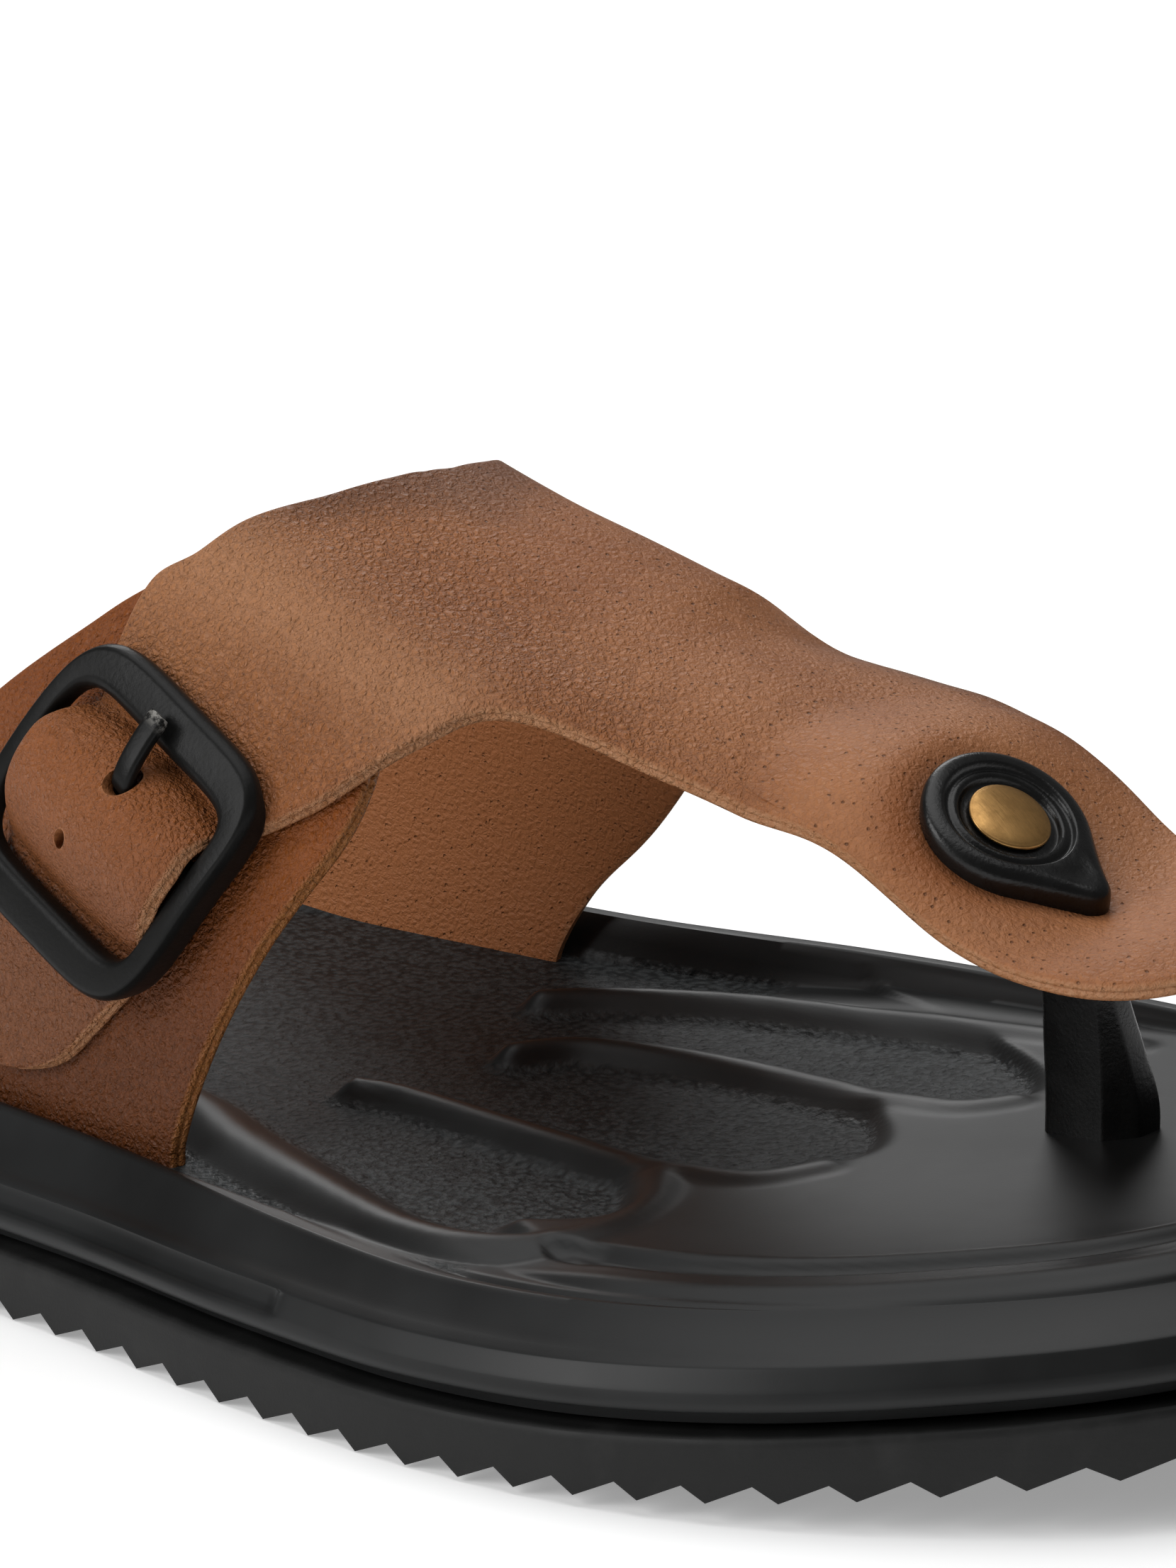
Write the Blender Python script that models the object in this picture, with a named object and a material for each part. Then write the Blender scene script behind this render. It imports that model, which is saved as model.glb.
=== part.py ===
"""A right leather thong slipper: moulded sole, leather T upper, side strap, buckle and toe post.

The sizes are millimetres in the shoe's own frame: x runs from the back of the heel to the toe,
y is positive on the medial side and z is up from the floor.
"""

import math
from collections import namedtuple

import bmesh
import bpy
import numpy as np
from mathutils import Vector


def table(columns, *rows):
    """Rows of numbers with named columns."""
    row_type = namedtuple("Row", columns)
    return tuple(row_type(*row) for row in rows)


MM = 0.001
GAP = 0.3
LENGTH = 288.0
TOE_TIP_Y = 10.0
SHARP_ANGLE = 35.0
WELD = 1e-6

# The sole's outline: half breadths on each side of the long axis.
OUTLINE = table(
    "x lateral medial",
    (3.0, 13.5, 13.0),
    (12.0, 26.0, 25.0),
    (28.0, 34.0, 32.5),
    (55.0, 38.6, 36.5),
    (95.0, 42.5, 37.8),
    (130.0, 45.8, 38.8),
    (160.0, 48.6, 42.0),
    (185.0, 52.6, 48.7),
    (209.0, 54.3, 53.3),
    (228.0, 52.3, 54.3),
    (245.0, 46.3, 53.0),
    (260.0, 36.9, 48.6),
    (272.3, 26.4, 41.3),
    (282.0, 11.5, 30.0),
)
OUTLINE_SAMPLES = 1440
TOE_SPRING = 8.0
SPRING_START = 0.70
SPRING_POWER = 1.7

# The outsole's saw-tooth tread and its flat pads.
TOOTH_PITCH = 6.3
TOOTH_DEPTH = 1.7
TOOTH_START = 1.4
TOOTH_RISE_SHARE = 0.65
TOOTH_CLEARANCE = 0.1
OUTSOLE_TOP = 6.6
OUTSOLE_SIDE_TOP = 6.0
OUTSOLE_EDGE_ROUND = 0.5
GROOVE_DEPTH = 3.2
HEEL_STATIONS = (0.0, 0.4, 3.2)
TOE_STATIONS = (1.8, 0.4, 0.0)
PADS = table(
    "name x y half_length half_width",
    ("heel_pad", 48.0, 1.0, 26.0, 20.0),
    ("forefoot_pad", 196.0, -1.0, 26.0, 30.0),
)
PAD_HEIGHT = 3.0
PAD_SIDES = 32

# The footbed's side from its foot to the step under the rim; slot is the share of the side slot's depth.
SIDE = table(
    "height lateral_inset medial_inset slot",
    (OUTSOLE_TOP + GAP, GROOVE_DEPTH, GROOVE_DEPTH, 0.0),
    (8.3, GROOVE_DEPTH, GROOVE_DEPTH, 0.0),
    (8.7, 0.5, 0.5, 0.0),
    (9.6, 0.0, 0.0, 0.0),
    (10.6, 0.2, 0.1, 0.0),
    (10.9, 0.3, 0.2, 1.0),
    (12.7, 1.2, 0.8, 1.0),
    (13.0, 1.4, 1.0, 0.0),
    (13.5, 2.4, 1.7, 0.0),
    (14.1, 3.9, 2.4, 0.0),
)
RIM_SHOULDER = 0.4
RIM_INSET = (7.0, 3.6)
RIM_SHOULDER_INSET = (6.5, 3.1)
SLOT_DEPTH = 1.1
SLOT_FROM = 100.0
SLOT_TO = 192.0
SLOT_RAMP = 3.0

# Heights of the rim above the sprung floor line, and the width over which it falls to the floor.
RIM = table(
    "x lateral medial cup_width",
    (0.0, 21.0, 21.0, 16.0),
    (60.0, 20.6, 21.8, 14.0),
    (110.0, 19.2, 23.0, 6.0),
    (150.0, 18.3, 22.9, 1.6),
    (175.0, 17.6, 22.8, 1.4),
    (200.0, 16.8, 22.6, 1.4),
    (230.0, 16.8, 21.5, 1.4),
    (260.0, 16.4, 19.0, 1.6),
    (288.0, 15.6, 15.6, 2.0),
)
STRIP_WIDE = 3.0
STRIP_NARROW = 0.8
STRIP_TAPER = (172.0, 210.0)
MEDIAL_RIM_FLAT = 1.4
END_BLEND = 40.0

# The footbed's top: floor, finger ridges, recess tips and toe terrace.
FLOOR = 17.2
FLOOR_TILT = 1.1
FLOOR_HALF = 45.0
RIDGE_HEIGHT = 2.0
RIDGES = table(
    "rear_x rear_y middle_x middle_y front_x front_y half_width",
    (164.0, 20.5, 183.0, 31.8, 214.0, 40.0, 4.2),
    (172.0, 6.0, 192.0, 15.0, 222.0, 17.5, 5.0),
    (166.0, -11.0, 192.0, -12.8, 218.0, -12.5, 5.0),
    (146.0, -22.0, 176.0, -33.8, 208.0, -38.0, 6.5),
)
RIDGE_END = 4.0
RIDGE_FLAT = 0.25
RECESS_TIPS = table(
    "y x half_width",
    (25.5, 218.0, 8.0),
    (1.5, 216.0, 11.0),
    (-24.5, 207.0, 8.0),
)
TIP_ROUND = 8.0
TIP_SLOPE = 5.0
TERRACE = table("inset drop", (7.0, 1.9), (8.6, 1.9), (12.0, 0.2), (17.5, 0.7), (21.0, 0.0))
TERRACE_BLEND = (186.0, 214.0)

# Sections of the form that the straps lie on: an arch over the foot at each x, hollowed on the medial side.
FORM = table(
    "x centre half_width base height apex_shift medial_fall",
    (90.0, -1.0, 29.3, 18.0, 82.0, 3.0, 0.0),
    (120.0, -1.5, 31.2, 18.0, 74.0, 3.5, 20.0),
    (150.0, -2.0, 34.2, 18.0, 65.3, 4.5, 35.0),
    (175.0, -1.5, 35.8, 18.0, 55.6, 6.0, 41.0),
    (200.0, 1.5, 37.5, 18.5, 45.8, 8.0, 11.0),
    (225.0, 8.0, 36.5, 19.5, 34.8, 7.5, 3.0),
    (250.0, 11.5, 32.0, 21.0, 26.5, 5.0, 0.0),
    (270.0, 12.0, 27.0, 23.0, 21.0, 3.0, 0.0),
)
ARCH_SIDE_POWER = 0.92
ARCH_TOP_POWER = 0.85
ANGLE_STEP = 1.0
X_STEP = 0.5
LEATHER = 1.8

# How the leather lifts off that form or sinks into it along its far shoulder.
SWELL = table(
    "x lift",
    (150.0, 0.0),
    (160.0, 0.0),
    (172.0, 0.55),
    (182.0, 0.95),
    (188.0, 0.7),
    (192.0, 0.35),
    (195.0, -0.75),
    (198.5, -1.7),
    (202.0, -1.6),
    (206.0, -0.8),
    (210.0, 0.0),
    (215.0, 1.1),
    (221.0, 1.5),
    (229.0, 1.05),
    (236.0, 0.6),
    (246.0, 0.2),
    (256.0, 0.0),
)
SWELL_ANGLE = 76.0
SWELL_SPREAD = 17.0

# The T upper's two edges from the medial foot to the buckle: x and the angle round the arch.
UPPER = table(
    "rear_x rear_angle front_x front_angle",
    (103.0, 0.0, 153.6, 0.0),
    (119.0, 22.0, 162.0, 19.8),
    (135.0, 43.0, 174.5, 42.2),
    (149.0, 60.0, 188.2, 57.8),
    (158.6, 71.0, 202.5, 69.0),
    (163.8, 79.5, 217.0, 73.5),
    (165.9, 85.5, 236.0, 77.0),
    (165.9, 90.5, 251.5, 86.0),
    (165.7, 92.2, 260.5, 103.0),
    (165.2, 94.0, 258.2, 117.5),
    (164.9, 95.5, 250.0, 127.2),
    (164.4, 97.0, 236.0, 127.5),
    (163.4, 101.2, 217.0, 121.5),
    (160.9, 109.2, 200.0, 122.0),
    (156.9, 119.3, 189.2, 125.6),
    (154.4, 126.5, 183.6, 134.2),
    (151.1, 132.0, 178.0, 143.7),
)
UPPER_STEPS_PER_ROW = 2
UPPER_ACROSS = 12
UPPER_CROWDING = 0.75
TUCK_DEPTH = 4.2
LAP_ANGLES = (108.0, 126.0)
LAP_FADE = (186.0, 206.0)

# The side strap, a row for each angle from its foot to its hidden top edge.
STRAP = table(
    "angle rear_x front_x",
    (180.0, 108.0, 165.7),
    (171.8, 114.5, 169.3),
    (161.5, 123.8, 173.9),
    (149.1, 136.0, 179.2),
    (141.0, 143.5, 180.2),
    (134.8, 148.2, 178.8),
    (129.7, 152.2, 174.2),
    (127.0, 155.8, 167.0),
)
STRAP_STEPS_PER_ROW = 3
STRAP_ACROSS = 8

# The buckle's own frame on the arch: across and along the strap end, in mm to x and angle.
BUCKLE_X = 156.5
BUCKLE_ANGLE = 156.3
ACROSS_X = 0.871
ACROSS_ANGLE = 0.279
ALONG_X = -0.452
ALONG_ANGLE = 0.870
FRAME = table(
    "centre half_across half_above half_below power skew",
    (-0.7, 14.7, 16.2, 13.9, 4.35, 0.85),
    (-1.0, 12.0, 10.3, 9.4, 6.5, 0.0),
)
FRAME_OUTER, FRAME_INNER = FRAME
FRAME_STEPS = 40
BAR_THICK = 3.0
BAR_LEVEL = 5.7
BAR_SECTION = table(
    "share height",
    (1.0, -0.5),
    (1.0, 0.2),
    (0.8, 1.0),
    (0.35, 0.9),
    (0.0, 0.3),
    (0.0, -0.6),
    (0.25, -1.0),
    (0.8, -1.0),
)
PIN_ALONG = -2.5
PIN_RADIUS = 1.2
PIN_LEVEL = 5.2
PIN_ENDS = (-14.2, 12.6)
PIN_ROWS = 7
PIN_SIDES = 12
EYE_RADIUS = 2.2
EYE_WIDTH = 2.4
EYE_SIDES = 20
PRONG_ACROSS = 1.3
PRONG_SLANT = 0.29
PRONG_STEPS_PER_ROW = 3
PRONG_WIDTH = 2.4
PRONG_THICK = 1.4
PRONG = table(
    "along level",
    (-4.65, 5.0),
    (-5.6, 6.3),
    (-6.1, 8.0),
    (-6.9, 9.5),
    (-8.4, 10.0),
    (-10.6, 9.7),
    (-13.3, 8.5),
)
HOLES = table("along across radius", (-6.3, 0.2, 2.1), (2.6, -1.5, 0.9))
HOLE_LEVELS = (2.0, 12.0)
HOLE_SIDES = 16
STRAP_END = table(
    "along rear_half front_half",
    (-14.0, 14.6, 15.0),
    (-10.4, 12.6, 12.4),
    (-8.3, 11.5, 9.9),
    (-5.5, 11.9, 9.8),
    (PIN_ALONG, 12.2, 10.6),
    (2.0, 12.1, 10.2),
    (5.5, 11.8, 9.9),
    (9.4, 11.6, 9.7),
    (13.2, 11.6, 9.2),
    (17.8, 11.2, 7.4),
    (21.2, 9.8, 5.3),
    (24.0, 7.6, 1.6),
    (25.6, 5.2, -2.2),
)
ABOVE_BUCKLE = -20.0
HUMP_ABOVE = 7.2
HUMP_BELOW = 11.6
HUMP_SLACK = 1.0
HUMP_HALF = 11.2
HUMP_EDGE_REACH = 1.6
HUMP_EDGE_DROP = 0.15
HUMP_POWERS = (2.6, 1.2)

# Toe post, cap and rivet.
RIVET_X = 232.5
RIVET_ANGLE = 103.7
LEAN_FORWARD = 0.37
LEAN_MEDIAL = 0.10
LEAN_FADE = (8.0, 23.0)
MM_PER_DEGREE = 0.62
CAP_RADIUS = 8.7
CAP_POINT = 14.9
CAP_TIP_SHARE = 0.925
CAP_TURN = 6.0
CAP_SIDES = 32
CAP_ROWS = table("share height", (1.0, -0.5), (1.0, 1.2), (0.93, 2.0), (0.8, 2.2), (0.68, 1.9), (0.62, 1.3))
CAP_HOLE = 2.0
CAP_HOLE_LEVELS = (-2.0, 4.0)
RIVET_RADIUS = 4.1
RIVET_EDGE = 0.3
RIVET_DOME = 1.0
RIVET_DOME_STEPS = 4
RIVET_SHANK = 1.6
RIVET_SIDES = 24
POST = table(
    "z rear_x front_x near_y thick corner",
    (18.4, 231.2, 241.4, 14.2, 6.8, 2.6),
    (24.2, 231.2, 241.4, 14.2, 6.8, 2.6),
    (30.0, 231.2, 240.7, 13.8, 5.6, 1.9),
    (37.0, 231.2, 239.6, 13.2, 4.4, 1.1),
)
POST_TOP = (230.0, 238.0, 12.0, 4.4, 1.1)
POST_REAR_CORNER = 0.9
POST_CORNERS = 8
POST_TOP_GAP = 0.45
POST_POCKET_HEIGHT = 9.0
POCKET_COLUMNS = 10
POCKET_END_GAP = 0.5
POCKET_ABOVE = 8.0
ARCH_ANGLES = (175.0, 5.0, 171)

FOOTBED_STATIONS = 48
FOOTBED_ACROSS = 20
END_CROWDING = 0.75


def column(rows, name):
    return np.array([getattr(row, name) for row in rows], float)


def smooth(knots, values, at):
    """A curve through the values with the slope of each knot's neighbours."""
    slopes = np.gradient(values, knots)
    at = np.clip(at, knots[0], knots[-1])
    left = np.clip(np.searchsorted(knots, at, side="right") - 1, 0, len(knots) - 2)
    width = knots[left + 1] - knots[left]
    t = (at - knots[left]) / width
    start, end = values[left], values[left + 1]
    return (
        start * (1 + 2 * t) * (1 - t) ** 2
        + end * t**2 * (3 - 2 * t)
        + width * t * (1 - t) * (slopes[left] * (1 - t) - slopes[left + 1] * t)
    )


def ramp(low, high, at):
    t = np.clip((np.asarray(at, float) - low) / (high - low), 0.0, 1.0)
    return t * t * (3.0 - 2.0 * t)


def toe_spring(x):
    share = np.clip((np.asarray(x, float) / LENGTH - SPRING_START) / (1.0 - SPRING_START), 0.0, 1.0)
    return TOE_SPRING * share**SPRING_POWER


def closed_outline():
    """The outline as one closed curve through the table's points, heel first along the lateral side."""
    x = column(OUTLINE, "x")
    lateral = np.column_stack([x, -column(OUTLINE, "lateral")])
    medial = np.column_stack([x, column(OUTLINE, "medial")])[::-1]
    points = np.vstack([[0.0, 0.0], lateral, [LENGTH, TOE_TIP_Y], medial])
    wrapped = np.vstack([points[-2:], points, points[:3]])
    along = np.concatenate([[0.0], np.cumsum(np.linalg.norm(np.diff(wrapped, axis=0), axis=1))])
    at = np.linspace(along[2], along[-3], OUTLINE_SAMPLES, endpoint=False)
    return np.column_stack([smooth(along, wrapped[:, 0], at), smooth(along, wrapped[:, 1], at)])


CURVE = closed_outline()
HEEL_SAMPLE = int(np.argmin(CURVE[:, 0]))
TOE_SAMPLE = int(np.argmax(CURVE[:, 0]))
TANGENTS = np.roll(CURVE, -1, axis=0) - np.roll(CURVE, 1, axis=0)
INWARD = np.column_stack([-TANGENTS[:, 1], TANGENTS[:, 0]])
INWARD /= np.linalg.norm(INWARD, axis=1)[:, None]
ORDER = np.roll(np.arange(len(CURVE)), -HEEL_SAMPLE)
TOE_PLACE = (TOE_SAMPLE - HEEL_SAMPLE) % len(CURVE)
LATERAL = ORDER[: TOE_PLACE + 1]
MEDIAL = np.concatenate([ORDER[TOE_PLACE:], ORDER[:1]])[::-1]


def edge_point(side, x, inset):
    """The outline's point at x on one side (0 lateral, 1 medial), moved inwards."""
    branch = (LATERAL, MEDIAL)[side]
    across = np.interp(x, CURVE[branch, 0], CURVE[branch, 1])
    normal = np.array([np.interp(x, CURVE[branch, 0], INWARD[branch, k]) for k in (0, 1)])
    normal /= np.linalg.norm(normal)
    return np.array([x, across]) + normal * inset


def inset_of(x, y):
    """Distance in from the outline, and whether the nearest side is the medial one."""
    gaps = np.hypot(CURVE[:, 0] - x, CURVE[:, 1] - y)
    nearest = int(np.argmin(gaps))
    return gaps[nearest], (nearest - HEEL_SAMPLE) % len(CURVE) > TOE_PLACE


def medial_share(side, x):
    """How much of the medial side's own profile applies: none on the lateral side or at the two ends."""
    return side * float(ramp(0.0, END_BLEND, x) * (1.0 - ramp(LENGTH - END_BLEND, LENGTH, x)))


def rim_height(side, x):
    knots = column(RIM, "x")
    return float(smooth(knots, column(RIM, ("lateral", "medial")[side]), x) + toe_spring(x))


def relief(x, y):
    """Share of the ridge height at a place: 0 in the recesses, 1 on the ridges and the toe area."""
    tips = [tip_x - TIP_ROUND * ((y - tip_y) / half) ** 2 for tip_y, tip_x, half in RECESS_TIPS]
    level = float(ramp(0.0, TIP_SLOPE, x - max(tips)))
    for rear_x, rear_y, middle_x, middle_y, front_x, front_y, half in RIDGES:
        knots = np.array([rear_x, middle_x, front_x])
        spine = float(smooth(knots, np.array([rear_y, middle_y, front_y]), x))
        behind = max(0.0, rear_x + RIDGE_END - x) * half / RIDGE_END
        level = max(level, 1.0 - float(ramp(RIDGE_FLAT * half, half, math.hypot(y - spine, behind))))
    return level


def footbed_top(x, y):
    inset, medial = inset_of(x, y)
    spring = float(toe_spring(x))
    level = FLOOR + FLOOR_TILT * y / FLOOR_HALF + spring + RIDGE_HEIGHT * relief(x, y)
    cup = float(smooth(column(RIM, "x"), column(RIM, "cup_width"), x))
    if medial:
        foot = RIM_INSET[0] + (RIM_INSET[1] - RIM_INSET[0]) * medial_share(1, x) + MEDIAL_RIM_FLAT
    else:
        foot = RIM_INSET[0] + STRIP_WIDE + (STRIP_NARROW - STRIP_WIDE) * float(ramp(*STRIP_TAPER, x))
        drop = np.interp(inset, column(TERRACE, "inset"), column(TERRACE, "drop"))
        level -= float(ramp(*TERRACE_BLEND, x)) * drop
    rise = 1.0 - float(ramp(foot, foot + cup, inset))
    return level + (rim_height(int(medial), x) - level) * rise


def tooth(x):
    share = ((x - TOOTH_START) / TOOTH_PITCH) % 1.0
    rise = min(share / TOOTH_RISE_SHARE, (1.0 - share) / (1.0 - TOOTH_RISE_SHARE))
    return TOOTH_CLEARANCE + TOOTH_DEPTH * rise


def arch_surface(x, degrees):
    """A point of the plain form at x and an angle round the arch, counted from its medial foot."""
    knots = column(FORM, "x")
    size = {name: float(smooth(knots, column(FORM, name), x)) for name in FORM[0]._fields}
    turn = math.radians(degrees)
    side, top = math.cos(turn), max(math.sin(turn), 0.0)
    across = math.copysign(abs(side) ** ARCH_SIDE_POWER, side)
    y = size["centre"] + size["half_width"] * across + size["apex_shift"] * top
    fall = size["medial_fall"] * max(side, 0.0) ** 2 * top
    return Vector((x, y, size["base"] + size["height"] * top**ARCH_TOP_POWER - fall))


def leather_lift(x, angle):
    """How far the leather lies off the plain form: its swell, and its lean to the toe round the rivet."""
    swell = float(smooth(column(SWELL, "x"), column(SWELL, "lift"), x))
    swell *= math.exp(-(((angle - SWELL_ANGLE) / SWELL_SPREAD) ** 2))
    forward = x - RIVET_X
    medial = (RIVET_ANGLE - angle) * MM_PER_DEGREE
    near = 1.0 - float(ramp(*LEAN_FADE, math.hypot(forward, medial)))
    return swell - near * (LEAN_FORWARD * forward + LEAN_MEDIAL * medial)


def on_arch(x, angle, level=0.0):
    """A point on the strap form, raised along its normal."""
    lateral, medial = min(angle + ANGLE_STEP, 180.0), max(angle - ANGLE_STEP, 0.0)
    across = arch_surface(x, lateral) - arch_surface(x, medial)
    forward = arch_surface(x + X_STEP, angle) - arch_surface(x - X_STEP, angle)
    normal = across.cross(forward).normalized()
    return arch_surface(x, angle) + normal * (level + leather_lift(x, angle))


def buckle_place(across, along):
    """x and angle of a place in the buckle's frame."""
    x = BUCKLE_X + across * ACROSS_X + along * ALONG_X
    return x, BUCKLE_ANGLE + across * ACROSS_ANGLE + along * ALONG_ANGLE


def on_buckle(across, along, level):
    """A point in the buckle's frame: across the strap end, along it, and above the form."""
    return on_arch(*buckle_place(across, along), level)


def lap_level(x, angle):
    """How far the upper's inner face stands off the form where it laps the side strap."""
    return (LEATHER + GAP) * float(ramp(*LAP_ANGLES, angle) * (1.0 - ramp(*LAP_FADE, x)))


def hump_level(along, across):
    """Rise of the strap end over the buckle's pin, lower and shorter at its two edges."""
    edge = abs(across) / HUMP_HALF
    reach = (HUMP_ABOVE if along < PIN_ALONG else HUMP_BELOW) - HUMP_EDGE_REACH * edge**2
    rise = (PIN_LEVEL + EYE_RADIUS + HUMP_SLACK - LEATHER) * (1.0 - HUMP_EDGE_DROP * edge**3)
    away = min(abs(along - PIN_ALONG) / reach, 1.0)
    return rise * (1.0 - away ** HUMP_POWERS[0]) ** HUMP_POWERS[1]


def placed_grid(rows, columns, point):
    """A bmesh grid whose vertex (row, column) stands at point(row, column)."""
    mesh = bmesh.new()
    bmesh.ops.create_grid(mesh, x_segments=rows - 1, y_segments=columns - 1, size=1.0)
    for vert in mesh.verts:
        row = round((vert.co.x + 1.0) * 0.5 * (rows - 1))
        col = round((vert.co.y + 1.0) * 0.5 * (columns - 1))
        vert.co = Vector(point(row, col)) * MM
    return mesh


def strap_sheet(rows, columns, point):
    """A grid on the strap form with its faces turned away from the foot."""
    mesh = placed_grid(rows, columns, point)
    mesh.normal_update()
    axis = Vector((0.0, 0.0, FLOOR * MM))
    upright = Vector((0.0, 1.0, 1.0))
    if sum(face.normal.dot(face.calc_center_median() * upright - axis) for face in mesh.faces) < 0.0:
        bmesh.ops.reverse_faces(mesh, faces=mesh.faces)
    return mesh


def closed_loft(rows, columns, point):
    """A loft of closed rings: the grid's last column is its first, and its ends are capped or pointed."""
    mesh = placed_grid(rows, columns + 1, lambda row, col: point(row, col % columns))
    bmesh.ops.remove_doubles(mesh, verts=mesh.verts, dist=WELD)
    bmesh.ops.holes_fill(mesh, edges=[edge for edge in mesh.edges if edge.is_boundary], sides=0)
    bmesh.ops.recalc_face_normals(mesh, faces=mesh.faces)
    return mesh


def material(name, colour, roughness, metallic=0.0):
    made = bpy.data.materials.new(name)
    made.use_nodes = True
    shader = made.node_tree.nodes["Principled BSDF"]
    shader.inputs["Base Color"].default_value = (*colour, 1.0)
    shader.inputs["Roughness"].default_value = roughness
    shader.inputs["Metallic"].default_value = metallic
    return made


def add_object(name, mesh, finish=None):
    data = bpy.data.meshes.new(name)
    mesh.to_mesh(data)
    mesh.free()
    data.shade_smooth()
    data.set_sharp_from_angle(angle=math.radians(SHARP_ANGLE))
    made = bpy.data.objects.new(name, data)
    bpy.context.scene.collection.objects.link(made)
    made.parent = ROOT
    if finish:
        data.materials.append(finish)
    else:
        made.hide_render = True
        made.display_type = "WIRE"
    return made


def thicken(target, thickness):
    wall = target.modifiers.new("wall", "SOLIDIFY")
    wall.thickness = thickness * MM
    wall.offset = 1.0


def combine(target, tool, operation):
    step = target.modifiers.new(tool.name, "BOOLEAN")
    step.operation = operation
    step.solver = "EXACT"
    step.object = tool


def stations(count):
    """Places along the shoe, closer together at the heel and the toe."""
    share = np.linspace(0.0, 1.0, count)
    return LENGTH * (share - END_CROWDING * np.sin(2.0 * np.pi * share) / (2.0 * np.pi))


def make_outsole(finish):
    teeth = [TOOTH_START + TOOTH_PITCH * k for k in range(int(LENGTH / TOOTH_PITCH) + 1)]
    notches = [tip + TOOTH_PITCH * TOOTH_RISE_SHARE for tip in teeth]
    ends = [*HEEL_STATIONS, *(LENGTH - back for back in TOE_STATIONS)]
    places = sorted(x for x in teeth + notches + ends if 0.0 <= x <= LENGTH)
    insets = (0.0, 0.0, OUTSOLE_EDGE_ROUND, GROOVE_DEPTH)
    heights = (None, OUTSOLE_SIDE_TOP, OUTSOLE_TOP, OUTSOLE_TOP)

    def point(row, col):
        side, step = (0, col) if col < len(insets) else (1, 2 * len(insets) - 1 - col)
        x, y = edge_point(side, places[row], insets[step])
        z = tooth(places[row]) if heights[step] is None else heights[step]
        return x, y, z + float(toe_spring(x))

    outsole = add_object("outsole", closed_loft(len(places), 2 * len(insets), point), finish)
    for name, x, y, half_length, half_width in PADS:
        pad = bmesh.new()
        bmesh.ops.create_cone(
            pad, cap_ends=True, segments=PAD_SIDES, radius1=1.0, radius2=1.0, depth=PAD_HEIGHT * MM
        )
        for vert in pad.verts:
            vert.co.x = (x + vert.co.x * half_length) * MM
            vert.co.y = (y + vert.co.y * half_width) * MM
            vert.co.z += 0.5 * PAD_HEIGHT * MM
        combine(outsole, add_object(name, pad), "UNION")


def make_footbed(finish, cutters):
    places = stations(FOOTBED_STATIONS)
    rows = len(SIDE) + 2
    ring = 2 * rows + FOOTBED_ACROSS

    def side_point(side, step, x):
        rim = rim_height(side, x)
        slot = 0.0
        if step < len(SIDE):
            height, *insets, slot = SIDE[step]
            height += float(toe_spring(x))
        elif step == len(SIDE):
            insets, height = RIM_SHOULDER_INSET, rim - RIM_SHOULDER
        else:
            insets, height = RIM_INSET, rim
        inset = insets[0] + (insets[1] - insets[0]) * medial_share(side, x)
        if side == 0:
            reach = ramp(SLOT_FROM, SLOT_FROM + SLOT_RAMP, x) * (1.0 - ramp(SLOT_TO - SLOT_RAMP, SLOT_TO, x))
            inset += slot * SLOT_DEPTH * float(reach)
        return np.array([*edge_point(side, x, inset), height])

    def point(row, col):
        x = places[row]
        if col < rows:
            return side_point(0, col, x)
        if col >= rows + FOOTBED_ACROSS:
            return side_point(1, ring - 1 - col, x)
        share = (col - rows + 1) / (FOOTBED_ACROSS + 1)
        spot = side_point(0, rows - 1, x) * (1.0 - share) + side_point(1, rows - 1, x) * share
        if row not in (0, len(places) - 1):
            spot[2] = footbed_top(spot[0], spot[1])
        return spot

    footbed = add_object("footbed", closed_loft(len(places), ring, point), finish)
    for cutter in cutters:
        combine(footbed, cutter, "DIFFERENCE")


def upper_rows():
    """The T upper's edge places in order: table rows, then the strap end worked out in the buckle's frame."""
    rows = list(UPPER)
    for along, rear_half, front_half in STRAP_END:
        rows.append((*buckle_place(-rear_half, along), *buckle_place(front_half, along)))
    return np.array(rows, float)


def upper_place(rows, row, share):
    """x, angle and the strap end's along and across at a row number, which may lie between rows."""
    knots = np.arange(len(rows), dtype=float)
    rear_x, rear_angle, front_x, front_angle = (float(smooth(knots, rows[:, k], row)) for k in range(4))
    end_knots = np.arange(len(UPPER) - 1, len(rows))
    along = float(np.interp(row, end_knots, [ABOVE_BUCKLE, *column(STRAP_END, "along")]))
    rear_half = float(np.interp(row, end_knots[1:], column(STRAP_END, "rear_half")))
    front_half = float(np.interp(row, end_knots[1:], column(STRAP_END, "front_half")))
    across = -rear_half + (rear_half + front_half) * share
    return rear_x + (front_x - rear_x) * share, rear_angle + (front_angle - rear_angle) * share, along, across


def upper_sheet():
    """The upper's inner face, its columns closer together towards the tongue's end."""
    rows = upper_rows()
    count = (len(rows) - 1) * UPPER_STEPS_PER_ROW + 2

    def point(row, col):
        share = (col / (UPPER_ACROSS - 1)) ** UPPER_CROWDING
        x, angle, along, across = upper_place(rows, max(row - 1, 0) / UPPER_STEPS_PER_ROW, share)
        spot = on_arch(x, angle, lap_level(x, angle) + hump_level(along, across))
        if row == 0:
            spot.z -= TUCK_DEPTH
        return spot

    return strap_sheet(count, UPPER_ACROSS, point)


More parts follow.
